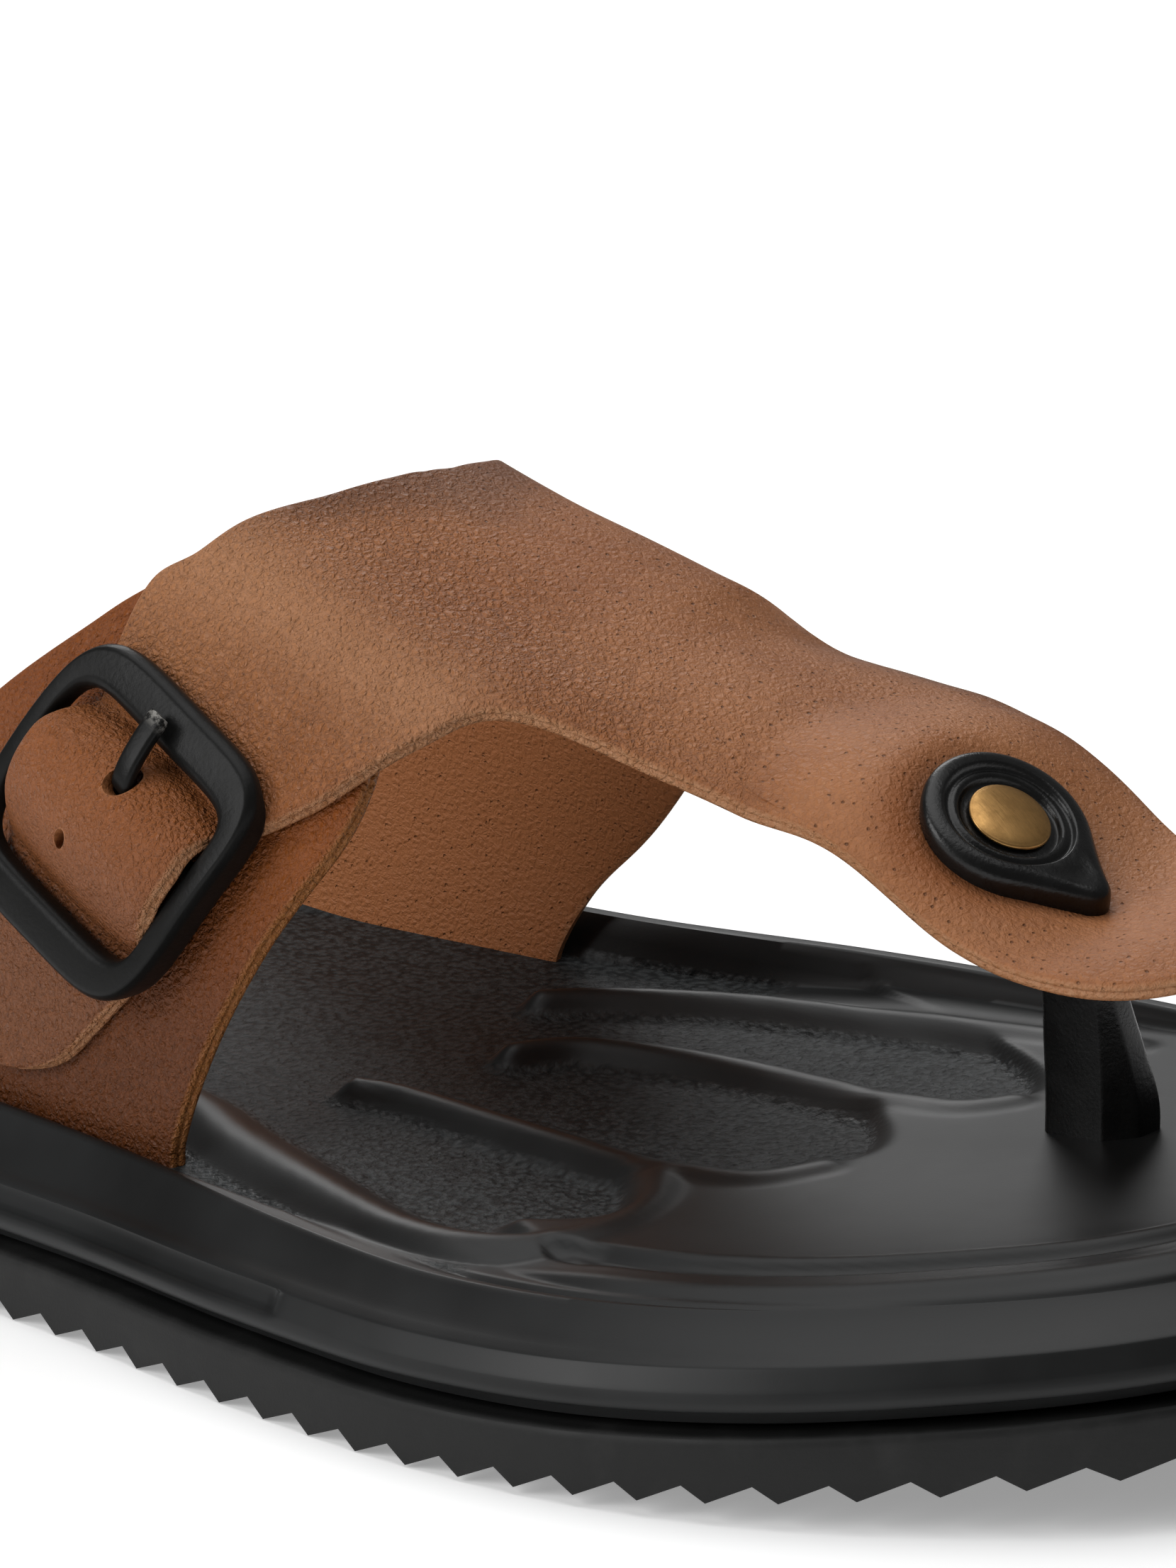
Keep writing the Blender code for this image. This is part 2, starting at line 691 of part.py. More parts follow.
def make_upper(finish):
    upper = add_object("upper", upper_sheet(), finish)
    thicken(upper, LEATHER)
    for number, (along, across, radius) in enumerate(HOLES):
        punch = closed_loft(2, HOLE_SIDES, lambda row, col: hole_point(across, along, radius, row, col))
        combine(upper, add_object(f"strap_hole_{number}", punch), "DIFFERENCE")

    def rivet_hole(row, col):
        return cap_point(CAP_HOLE, 360.0 * col / RIVET_SIDES, CAP_HOLE_LEVELS[row])

    combine(upper, add_object("rivet_hole", closed_loft(2, RIVET_SIDES, rivet_hole)), "DIFFERENCE")


def hole_point(across, along, radius, row, col):
    turn = 2.0 * math.pi * col / HOLE_SIDES
    base = on_buckle(across, along, HOLE_LEVELS[0])
    top = on_buckle(across, along, HOLE_LEVELS[1])
    sideways = (on_buckle(across + 1.0, along, HOLE_LEVELS[0]) - base).normalized()
    lengthways = (top - base).cross(sideways).normalized()
    centre = top if row else base
    return centre + (sideways * math.cos(turn) + lengthways * math.sin(turn)) * radius


def make_side_strap(finish):
    knots = np.arange(len(STRAP), dtype=float)
    angle, rear, front = (column(STRAP, name) for name in STRAP[0]._fields)
    count = (len(STRAP) - 1) * STRAP_STEPS_PER_ROW + 2

    def point(row, col):
        at = max(row - 1, 0) / STRAP_STEPS_PER_ROW
        start, end = float(smooth(knots, rear, at)), float(smooth(knots, front, at))
        spot = on_arch(start + (end - start) * col / (STRAP_ACROSS - 1), float(smooth(knots, angle, at)))
        if row == 0:
            spot.z -= TUCK_DEPTH
        return spot

    thicken(add_object("side_strap", strap_sheet(count, STRAP_ACROSS, point), finish), LEATHER)


def strap_pocket(name, angle, rear, front):
    """The cutter for the slot that a strap's foot stands in."""

    def point(row, col):
        x = rear - POCKET_END_GAP + (front - rear + 2.0 * POCKET_END_GAP) * col / (POCKET_COLUMNS - 1)
        spot = on_arch(x, angle, -GAP)
        spot.z += (POCKET_ABOVE, -TUCK_DEPTH - GAP)[row]
        return spot

    cutter = add_object(name, strap_sheet(2, POCKET_COLUMNS, point))
    thicken(cutter, LEATHER + 2.0 * GAP)
    return cutter


def post_ring(rear, front, near, thick, corner, grow):
    """Corners of a post section with cut corners, as x and y."""
    rear, front, near, far = rear - grow, front + grow, near - grow, near + thick + grow
    return (
        (rear + POST_REAR_CORNER, near),
        (front - corner, near),
        (front, near + corner),
        (front, far - POST_REAR_CORNER),
        (front - POST_REAR_CORNER, far),
        (rear + POST_REAR_CORNER, far),
        (rear, far - POST_REAR_CORNER),
        (rear, near + POST_REAR_CORNER),
    )


def arch_height(x, y):
    """Height of the strap form over a place on the floor."""
    spots = [on_arch(x, angle) for angle in np.linspace(*ARCH_ANGLES)]
    return float(np.interp(y, [spot.y for spot in spots], [spot.z for spot in spots]))


def make_toe_post(finish):
    def point(row, col):
        if row < len(POST):
            z, *sizes = POST[row]
            return (*post_ring(*sizes, 0.0)[col], z)
        x, y = post_ring(*POST_TOP, 0.0)[col]
        return x, y, arch_height(x, y) - POST_TOP_GAP

    add_object("toe_post", closed_loft(len(POST) + 1, POST_CORNERS, point), finish)


def post_pocket():
    z, *sizes = POST[0]
    ring = post_ring(*sizes, GAP)

    def point(row, col):
        return (*ring[col], z - GAP + POST_POCKET_HEIGHT * row)

    return add_object("post_pocket", closed_loft(2, POST_CORNERS, point))


def cap_point(radius, turn, level):
    """A point round the rivet on the tongue: radius in mm, turn in degrees from the toe direction."""
    per_degree = (on_arch(RIVET_X, RIVET_ANGLE + 1.0) - on_arch(RIVET_X, RIVET_ANGLE - 1.0)).length / 2.0
    per_x = (on_arch(RIVET_X + 1.0, RIVET_ANGLE) - on_arch(RIVET_X - 1.0, RIVET_ANGLE)).length / 2.0
    forward = radius * math.cos(math.radians(turn)) / per_x
    sideways = radius * math.sin(math.radians(turn)) / per_degree
    return on_arch(RIVET_X + forward, RIVET_ANGLE - sideways, level)


def teardrop(turn):
    """Radius of the cap's outline, a circle drawn out to a point."""
    away = math.radians((turn - CAP_TURN + 180.0) % 360.0 - 180.0)
    reach = math.acos(CAP_RADIUS / CAP_POINT)
    if abs(away) >= reach:
        return CAP_RADIUS
    straight = CAP_RADIUS / math.cos(reach - abs(away))
    return min(straight, CAP_POINT * CAP_TIP_SHARE)


def make_post_cap(finish):
    rows = (*CAP_ROWS, (CAP_HOLE, CAP_ROWS[-1].height), (CAP_HOLE, CAP_ROWS[0].height))

    def point(row, col):
        row %= len(rows)
        turn = CAP_TURN + 360.0 * col / CAP_SIDES
        share, height = rows[row]
        radius = share if row >= len(CAP_ROWS) else share * teardrop(turn)
        return cap_point(radius, turn, LEATHER + GAP + height)

    cap = add_object("post_cap", closed_loft(len(rows) + 1, CAP_SIDES, point), finish)
    allowance = add_object("leather_allowance", upper_sheet())
    thicken(allowance, LEATHER + GAP)
    combine(cap, allowance, "DIFFERENCE")


def make_rivet(finish):
    seat = LEATHER + GAP + CAP_ROWS[-1].height + GAP
    rows = [(0.0, RIVET_EDGE), (RIVET_SHANK, RIVET_EDGE), (RIVET_SHANK, seat), (RIVET_RADIUS, seat)]
    for step in np.linspace(0.0, 0.5 * math.pi, RIVET_DOME_STEPS + 1):
        rows.append((RIVET_RADIUS * math.cos(step), seat + RIVET_EDGE + RIVET_DOME * math.sin(step)))

    def point(row, col):
        radius, level = rows[row]
        return cap_point(radius, 360.0 * col / RIVET_SIDES, level)

    add_object("rivet", closed_loft(len(rows), RIVET_SIDES, point), finish)


def ring_point(ring, step):
    """A point of one of the buckle's rounded outlines, as across and along."""
    turn = 2.0 * math.pi * step / FRAME_STEPS
    side, end = math.cos(turn), math.sin(turn)
    power = 2.0 / (ring.power - ring.skew * side)
    half_along = ring.half_below if end > 0.0 else ring.half_above
    across = ring.centre + ring.half_across * math.copysign(abs(side) ** power, side)
    return Vector((across, half_along * math.copysign(abs(end) ** power, end)))


def make_buckle_frame(finish):
    def point(row, col):
        share, height = BAR_SECTION[col]
        step = row % FRAME_STEPS
        spot = ring_point(FRAME_INNER, step).lerp(ring_point(FRAME_OUTER, step), share)
        return on_buckle(*spot, BAR_LEVEL + 0.5 * BAR_THICK * height)

    def pin_point(row, col):
        turn = 2.0 * math.pi * col / PIN_SIDES
        across = PIN_ENDS[0] + (PIN_ENDS[1] - PIN_ENDS[0]) * row / (PIN_ROWS - 1)
        along = PIN_ALONG + PIN_RADIUS * math.cos(turn)
        return on_buckle(across, along, PIN_LEVEL + PIN_RADIUS * math.sin(turn))

    frame = add_object("buckle_frame", closed_loft(FRAME_STEPS + 1, len(BAR_SECTION), point), finish)
    combine(frame, add_object("buckle_pin", closed_loft(PIN_ROWS, PIN_SIDES, pin_point)), "UNION")


def make_buckle_prong(finish):
    count = PRONG_STEPS_PER_ROW * len(PRONG)
    knots = np.arange(len(PRONG), dtype=float)
    along, level = (column(PRONG, name) for name in PRONG[0]._fields)
    path = [
        Vector((float(smooth(knots, along, at)), float(smooth(knots, level, at))))
        for at in np.linspace(0.0, len(PRONG) - 1.0, count)
    ]

    def point(row, col):
        step = (path[min(row + 1, count - 1)] - path[max(row - 1, 0)]).normalized()
        middle = PRONG_ACROSS + PRONG_SLANT * (path[row].x - PIN_ALONG)
        across = middle + 0.5 * PRONG_WIDTH * (1, 1, -1, -1)[col]
        high = 0.5 * PRONG_THICK * (-1, 1, 1, -1)[col]
        return on_buckle(across, path[row].x - step.y * high, path[row].y + step.x * high)

    def eye_point(row, col):
        turn = 2.0 * math.pi * col / EYE_SIDES
        radius = (EYE_RADIUS, EYE_RADIUS, PIN_RADIUS + GAP, PIN_RADIUS + GAP)[row % 4]
        across = PRONG_ACROSS + 0.5 * EYE_WIDTH * (-1, 1, 1, -1)[row % 4]
        return on_buckle(across, PIN_ALONG + radius * math.cos(turn), PIN_LEVEL + radius * math.sin(turn))

    prong = add_object("buckle_prong", closed_loft(count, 4, point), finish)
    combine(prong, add_object("prong_eye", closed_loft(5, EYE_SIDES, eye_point)), "UNION")


for stale in list(bpy.data.objects):
    bpy.data.objects.remove(stale)

ROOT = bpy.data.objects.new("slipper", None)
ROOT.location = (-0.5 * LENGTH * MM, 0.0, 0.0)
bpy.context.scene.collection.objects.link(ROOT)

RUBBER = material("black_rubber", (0.012, 0.012, 0.013), 0.5)
FOAM = material("black_footbed", (0.016, 0.016, 0.017), 0.45)
TAN = material("tan_leather", (0.24, 0.095, 0.042), 0.5)
BLACK_METAL = material("black_metal", (0.012, 0.012, 0.013), 0.35, 1.0)
BLACK_PLASTIC = material("black_plastic", (0.01, 0.01, 0.011), 0.4)
BRASS = material("antique_brass", (0.35, 0.22, 0.09), 0.4, 1.0)

make_outsole(RUBBER)
make_footbed(
    FOAM,
    (
        strap_pocket("medial_pocket", 0.0, UPPER[0].rear_x, UPPER[0].front_x),
        strap_pocket("lateral_pocket", 180.0, STRAP[0].rear_x, STRAP[0].front_x),
        post_pocket(),
    ),
)
make_upper(TAN)
make_side_strap(TAN)
make_buckle_frame(BLACK_METAL)
make_buckle_prong(BLACK_METAL)
make_toe_post(BLACK_PLASTIC)
make_post_cap(BLACK_PLASTIC)
make_rivet(BRASS)
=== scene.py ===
import math

import bmesh
import bpy
import numpy as np
from mathutils import Matrix, Vector


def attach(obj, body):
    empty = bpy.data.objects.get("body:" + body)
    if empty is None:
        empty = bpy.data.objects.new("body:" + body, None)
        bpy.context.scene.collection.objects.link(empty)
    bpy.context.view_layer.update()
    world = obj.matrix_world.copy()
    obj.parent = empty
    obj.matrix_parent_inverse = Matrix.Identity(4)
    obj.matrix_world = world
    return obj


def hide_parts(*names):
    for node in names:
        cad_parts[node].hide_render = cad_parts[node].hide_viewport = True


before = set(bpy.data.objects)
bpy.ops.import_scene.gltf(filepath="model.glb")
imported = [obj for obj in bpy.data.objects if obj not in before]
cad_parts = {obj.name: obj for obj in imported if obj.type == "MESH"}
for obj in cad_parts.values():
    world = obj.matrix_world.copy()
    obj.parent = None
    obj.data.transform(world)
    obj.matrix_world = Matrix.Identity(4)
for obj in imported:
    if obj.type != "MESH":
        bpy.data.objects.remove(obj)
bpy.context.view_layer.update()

scene = bpy.context.scene
print("frame loaded with", len(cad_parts), "nodes")

# sizes are millimetres on the shoe: x from heel to toe, y towards the medial side, z up
shoe = {
    "length": 288.0,
    "toeTipY": 10.0,
    "leather": 1.8,
    "gap": 0.3,
    "springHeight": 8.0,
    "springStart": 0.70,
    "springPower": 1.7,
    "outline": [  # x, lateral half, medial half
        (3.0, 13.5, 13.0), (12.0, 26.0, 25.0), (28.0, 34.0, 32.5), (55.0, 38.6, 36.5),
        (95.0, 42.5, 37.8), (130.0, 45.8, 38.8), (160.0, 48.6, 42.0), (185.0, 52.6, 48.7),
        (209.0, 54.3, 53.3), (228.0, 52.3, 54.3), (245.0, 46.3, 53.0), (260.0, 36.9, 48.6),
        (272.3, 26.4, 41.3), (282.0, 11.5, 30.0),
    ],
    "outlineSamples": 1440,
}


def curveThrough(knots, values, at):
    knots, values = np.asarray(knots, float), np.asarray(values, float)
    slopes = np.gradient(values, knots)
    at = np.clip(at, knots[0], knots[-1])
    left = np.clip(np.searchsorted(knots, at, side="right") - 1, 0, len(knots) - 2)
    width = knots[left + 1] - knots[left]
    t = (at - knots[left]) / width
    start, end = values[left], values[left + 1]
    bend = width * t * (1 - t) * (slopes[left] * (1 - t) - slopes[left + 1] * t)
    return start * (1 + 2 * t) * (1 - t) ** 2 + end * t**2 * (3 - 2 * t) + bend


def ease(low, high, at):
    t = np.clip((np.asarray(at, float) - low) / (high - low), 0.0, 1.0)
    return t * t * (3.0 - 2.0 * t)


def bell(at, middle, spread):
    return np.exp(-(((np.asarray(at, float) - middle) / spread) ** 2))


def distanceAlong(path):
    return np.concatenate([[0.0], np.cumsum(np.linalg.norm(np.diff(path, axis=0), axis=1))])


def columnsAt(table, row):  # every column of a table, at row numbers between its rows too
    table = np.asarray(table, float)
    knots = np.arange(len(table), dtype=float)
    return [curveThrough(knots, table[:, k], row) for k in range(table.shape[1])]


def toeSpring(x):
    share = (np.asarray(x, float) / shoe["length"] - shoe["springStart"]) / (1.0 - shoe["springStart"])
    return shoe["springHeight"] * np.clip(share, 0.0, 1.0) ** shoe["springPower"]


def closedOutline():  # from the heel along the lateral side to the toe and back
    table = np.array(shoe["outline"])
    lateral = np.column_stack([table[:, 0], -table[:, 1]])
    medial = np.column_stack([table[:, 0], table[:, 2]])[::-1]
    points = np.vstack([[0.0, 0.0], lateral, [shoe["length"], shoe["toeTipY"]], medial])
    wrapped = np.vstack([points[-2:], points, points[:3]])
    along = distanceAlong(wrapped)
    at = np.linspace(along[2], along[-3], shoe["outlineSamples"], endpoint=False)
    made = np.column_stack([curveThrough(along, wrapped[:, k], at) for k in (0, 1)])
    made[:, 0] *= shoe["length"] / made[:, 0].max()  # so both sides meet at the toe
    return np.roll(made, -int(np.argmin(made[:, 0])), axis=0)


outline = closedOutline()
toePlace = int(np.argmax(outline[:, 0]))
tangents = np.roll(outline, -1, axis=0) - np.roll(outline, 1, axis=0)
inward = np.column_stack([-tangents[:, 1], tangents[:, 0]])
inward /= np.linalg.norm(inward, axis=1)[:, None]
everySample = np.arange(len(outline))
sideSamples = (everySample[: toePlace + 1], np.concatenate([everySample[toePlace:], everySample[:1]])[::-1])


def edgePoint(side, x, inset):  # side 0 is lateral, 1 medial
    branch = sideSamples[side]
    across = np.interp(x, outline[branch, 0], outline[branch, 1])
    normal = np.stack([np.interp(x, outline[branch, 0], inward[branch, k]) for k in (0, 1)], axis=-1)
    normal /= np.linalg.norm(normal, axis=-1, keepdims=True)
    return np.stack([x, across], axis=-1) + normal * np.asarray(inset)[..., None]


def insetOf(x, y):  # distance in from the outline, and the nearest sample's number
    flatX, flatY = np.ravel(x), np.ravel(y)
    inset, nearest = np.empty(len(flatX)), np.empty(len(flatX), int)
    for start in range(0, len(flatX), 4000):
        part = slice(start, start + 4000)
        gaps = np.hypot(outline[:, 0] - flatX[part, None], outline[:, 1] - flatY[part, None])
        nearest[part] = gaps.argmin(axis=1)
        inset[part] = gaps.min(axis=1)
    return inset.reshape(np.shape(x)), nearest.reshape(np.shape(x))


# the form that the straps lie on: an arch over the foot at each x, hollowed on the medial side
form = {
    "rows": np.array([  # x, centre, half width, base, height, apex shift, medial fall
        (90.0, -1.0, 29.3, 18.0, 82.0, 3.0, 0.0), (120.0, -1.5, 31.2, 18.0, 74.0, 3.5, 20.0),
        (150.0, -2.0, 34.2, 18.0, 65.3, 4.5, 35.0), (175.0, -1.5, 35.8, 18.0, 55.6, 6.0, 41.0),
        (200.0, 1.5, 37.5, 18.5, 45.8, 8.0, 11.0), (225.0, 8.0, 36.5, 19.5, 34.8, 7.5, 3.0),
        (250.0, 11.5, 32.0, 21.0, 26.5, 5.0, 0.0), (270.0, 12.0, 27.0, 23.0, 21.0, 3.0, 0.0),
    ]),
    "sidePower": 0.92,
    "topPower": 0.85,
    "swell": np.array([  # x, lift of the leather along its far shoulder
        (150.0, 0.0), (160.0, 0.0), (172.0, 0.55), (182.0, 0.95), (188.0, 0.7), (192.0, 0.35), (195.0, -0.75),
        (198.5, -1.7), (202.0, -1.6), (206.0, -0.8), (210.0, 0.0), (215.0, 1.1), (221.0, 1.5), (229.0, 1.05),
        (236.0, 0.6), (246.0, 0.2), (256.0, 0.0),
    ]),
    "swellAngle": 76.0,
    "swellSpread": 17.0,
    "rivetX": 232.5,
    "rivetAngle": 103.7,
    "mmPerDegree": 0.62,
    "leanForward": 0.37,
    "leanMedial": 0.10,
    "leanFade": (8.0, 23.0),
}


def archSurface(x, angle):
    sizes = [curveThrough(form["rows"][:, 0], form["rows"][:, k], x) for k in range(1, 7)]
    centre, halfWidth, base, height, shift, fall = sizes
    side, top = np.cos(np.radians(angle)), np.maximum(np.sin(np.radians(angle)), 0.0)
    y = centre + halfWidth * np.sign(side) * np.abs(side) ** form["sidePower"] + shift * top
    z = base + height * top ** form["topPower"] - fall * np.maximum(side, 0.0) ** 2 * top
    return np.stack([x + 0.0 * y, y, z], axis=-1)


# how far the leather lies off that form: its swell, and its lean to the toe round the rivet
def leatherLift(x, angle):
    swell = curveThrough(form["swell"][:, 0], form["swell"][:, 1], x)
    swell = swell * bell(angle, form["swellAngle"], form["swellSpread"])
    forward, medial = x - form["rivetX"], (form["rivetAngle"] - angle) * form["mmPerDegree"]
    near = 1.0 - ease(*form["leanFade"], np.hypot(forward, medial))
    return swell - near * (form["leanForward"] * forward + form["leanMedial"] * medial)


def onArch(x, angle, level=0.0):
    x, angle, level = np.broadcast_arrays(*(np.asarray(value, float) for value in (x, angle, level)))
    lateral, medial = np.minimum(angle + 1.0, 180.0), np.maximum(angle - 1.0, 0.0)
    towardLateral = archSurface(x, lateral) - archSurface(x, medial)
    forward = archSurface(x + 0.5, angle) - archSurface(x - 0.5, angle)
    normal = np.cross(towardLateral, forward)
    normal /= np.linalg.norm(normal, axis=-1, keepdims=True)
    return archSurface(x, angle) + normal * (level + leatherLift(x, angle))[..., None]


# the buckle's middle on that form, and what a mm across or along it is in x and angle
buckleSpot = {
    "x": 156.5, "angle": 156.3,
    "acrossX": 0.871, "acrossAngle": 0.279, "alongX": -0.452, "alongAngle": 0.870,
}


def bucklePlace(across, along):
    x = buckleSpot["x"] + across * buckleSpot["acrossX"] + along * buckleSpot["alongX"]
    return x, buckleSpot["angle"] + across * buckleSpot["acrossAngle"] + along * buckleSpot["alongAngle"]


def onBuckle(across, along, level):
    return onArch(*bucklePlace(np.asarray(across, float), np.asarray(along, float)), level)


def toMetres(spots):
    return (np.asarray(spots) - np.array([0.5 * shoe["length"], 0.0, 0.0])) * 0.001


# a grid whose corner (row, column) stands at spots[row, column]; masks are kept on its vertices
def placedGrid(spots, masks):
    rows, columns = spots.shape[:2]
    mesh = bmesh.new()
    bmesh.ops.create_grid(mesh, x_segments=rows - 1, y_segments=columns - 1, size=1.0)
    layers = [(mesh.verts.layers.float.new(name), values) for name, values in masks.items()]
    places = toMetres(spots)
    for vert in mesh.verts:
        row = round((vert.co.x + 1.0) * 0.5 * (rows - 1))
        column = round((vert.co.y + 1.0) * 0.5 * (columns - 1))
        vert.co = places[row, column]
        for layer, values in layers:
            vert[layer] = float(values[row, column])
    return mesh


# rings joined into one closed skin, its two ends filled
def closedLoft(spots, masks=None):
    wrap = lambda values: np.concatenate([values, values[:, :1]], axis=1)
    mesh = placedGrid(wrap(spots), {name: wrap(values) for name, values in (masks or {}).items()})
    bmesh.ops.remove_doubles(mesh, verts=mesh.verts, dist=2e-6)
    bmesh.ops.holes_fill(mesh, edges=[edge for edge in mesh.edges if edge.is_boundary], sides=0)
    bmesh.ops.recalc_face_normals(mesh, faces=mesh.faces)
    return mesh


# a profile with each corner rounded by a short curve
def roundedProfile(points, radius, closed=False, steps=3):
    points = np.asarray(points, float)
    made = [] if closed else [points[0]]
    numbers = range(len(points)) if closed else range(1, len(points) - 1)
    for k in numbers:
        before, here, after = points[k - 1], points[k], points[(k + 1) % len(points)]
        reach = [min(radius, 0.45 * np.linalg.norm((other - here)[:2])) for other in (before, after)]
        first = here + (before - here) * reach[0] / max(np.linalg.norm((before - here)[:2]), 1e-9)
        last = here + (after - here) * reach[1] / max(np.linalg.norm((after - here)[:2]), 1e-9)
        for t in np.linspace(0.0, 1.0, steps):
            made.append(first * (1 - t) ** 2 + here * 2 * t * (1 - t) + last * t**2)
    return np.array(made if closed else made + [points[-1]])


def addPiece(name, mesh, finish, node, sharpAngle=50.0):
    data = bpy.data.meshes.new(name)
    mesh.to_mesh(data)
    mesh.free()
    data.shade_smooth()
    data.set_sharp_from_angle(angle=math.radians(sharpAngle))
    data.materials.append(finish)
    piece = bpy.data.objects.new(name, data)
    scene.collection.objects.link(piece)
    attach(piece, "root")
    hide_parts(node)
    print(name, "made,", len(data.polygons), "faces")


# nodes of the finishes: a value in inputs is set on its socket, a socket is linked to it
def feed(tree, node, inputs):
    for name, value in inputs.items():
        if isinstance(value, bpy.types.NodeSocket):
            tree.links.new(value, node.inputs[name])
        else:
            node.inputs[name].default_value = value


def addNode(tree, kind, inputs=None, **settings):
    made = tree.nodes.new(kind)
    for name, value in settings.items():
        setattr(made, name, value)
    feed(tree, made, inputs or {})
    return made


def mixColours(tree, share, first, second, blend="MIX"):
    made = addNode(tree, "ShaderNodeMix", {0: share, 6: first, 7: second}, data_type="RGBA", blend_type=blend)
    return made.outputs[2]


def maths(tree, operation, first, second, third=0.0):
    return addNode(tree, "ShaderNodeMath", {0: first, 1: second, 2: third}, operation=operation).outputs[0]


def spread(tree, value, low, high, start=0.0, end=1.0):
    inputs = {"Value": value, "From Min": low, "From Max": high, "To Min": start, "To Max": end}
    return addNode(tree, "ShaderNodeMapRange", inputs, interpolation_type="SMOOTHSTEP").outputs["Result"]


def maskOf(tree, name):
    return addNode(tree, "ShaderNodeAttribute", attribute_name=name).outputs["Fac"]


def newFinish(name):
    made = bpy.data.materials.new(name)
    made.use_nodes = True
    tree = made.node_tree
    return made, tree, tree.nodes["Principled BSDF"], addNode(tree, "ShaderNodeTexCoord").outputs["Object"]


def noise(tree, vector, scale, detail=2.0, roughness=0.5, output="Fac"):
    inputs = {"Vector": vector, "Scale": scale, "Detail": detail, "Roughness": roughness}
    return addNode(tree, "ShaderNodeTexNoise", inputs).outputs[output]


def stretched(tree, vector, scale):
    return addNode(tree, "ShaderNodeMapping", {"Vector": vector, "Scale": scale}).outputs["Vector"]


def cells(tree, vector, scale, feature="F1"):
    return addNode(tree, "ShaderNodeTexVoronoi", {"Vector": vector, "Scale": scale}, feature=feature).outputs


def chanceOf(tree, made, channel=0):  # a number of its own for each cell
    return addNode(tree, "ShaderNodeSeparateColor", {"Color": made["Color"]}).outputs[channel]


def setBump(tree, shader, height, depth):
    bump = addNode(tree, "ShaderNodeBump", {"Height": height, "Distance": depth})
    tree.links.new(bump.outputs["Normal"], shader.inputs["Normal"])


def rgb(red, green, blue):
    return (red, green, blue, 1.0)


# camera at the photograph's angle
view = {
    "azimuth": 40.196, "elevation": 16.227, "place": (787.88, -712.39, 321.83),
    "lens": 227.62, "sensor": 36.0,
}


def placeCamera():
    turn, lift = math.radians(view["azimuth"]), math.radians(view["elevation"])
    back = Vector((math.sin(turn) * math.cos(lift), -math.cos(turn) * math.cos(lift), math.sin(lift)))
    right = Vector((math.cos(turn), math.sin(turn), 0.0))
    up = back.cross(right)
    lens = bpy.data.cameras.new("photoLens")
    lens.lens, lens.sensor_width, lens.clip_end = view["lens"], view["sensor"], 50.0
    camera = bpy.data.objects.new("photoCamera", lens)
    turned = Matrix((right, up, back)).transposed().to_4x4()
    camera.matrix_world = Matrix.Translation(toMetres(view["place"])) @ turned
    scene.collection.objects.link(camera)
    scene.camera = camera


placeCamera()
print("camera placed")

# tan leather: pebbled towards the buckle, finer pores on the tongue
leatherLook = {
    "tan": rgb(0.282, 0.101, 0.032),
    "pale": rgb(0.368, 0.148, 0.056),
    "deep": rgb(0.085, 0.031, 0.013),
    "orange": rgb(0.25, 0.074, 0.016),
    "rawEdge": rgb(0.46, 0.23, 0.115),
    "inside": rgb(0.42, 0.155, 0.055),
    # the painted sheen colour for the pale band at the bend
    "wearAndSheen": rgb(0.43, 0.205, 0.098),
    "cellsPerMetre": 1150.0,
    "fineCellsPerMetre": 2645.0,
    "poresPerMetre": 1100.0,
    "specksPerMetre": 1322.5,
    "wavesPerMetre": 900.0,
    "waveReach": 0.0006,
    "grainDepth": 0.00032,
}


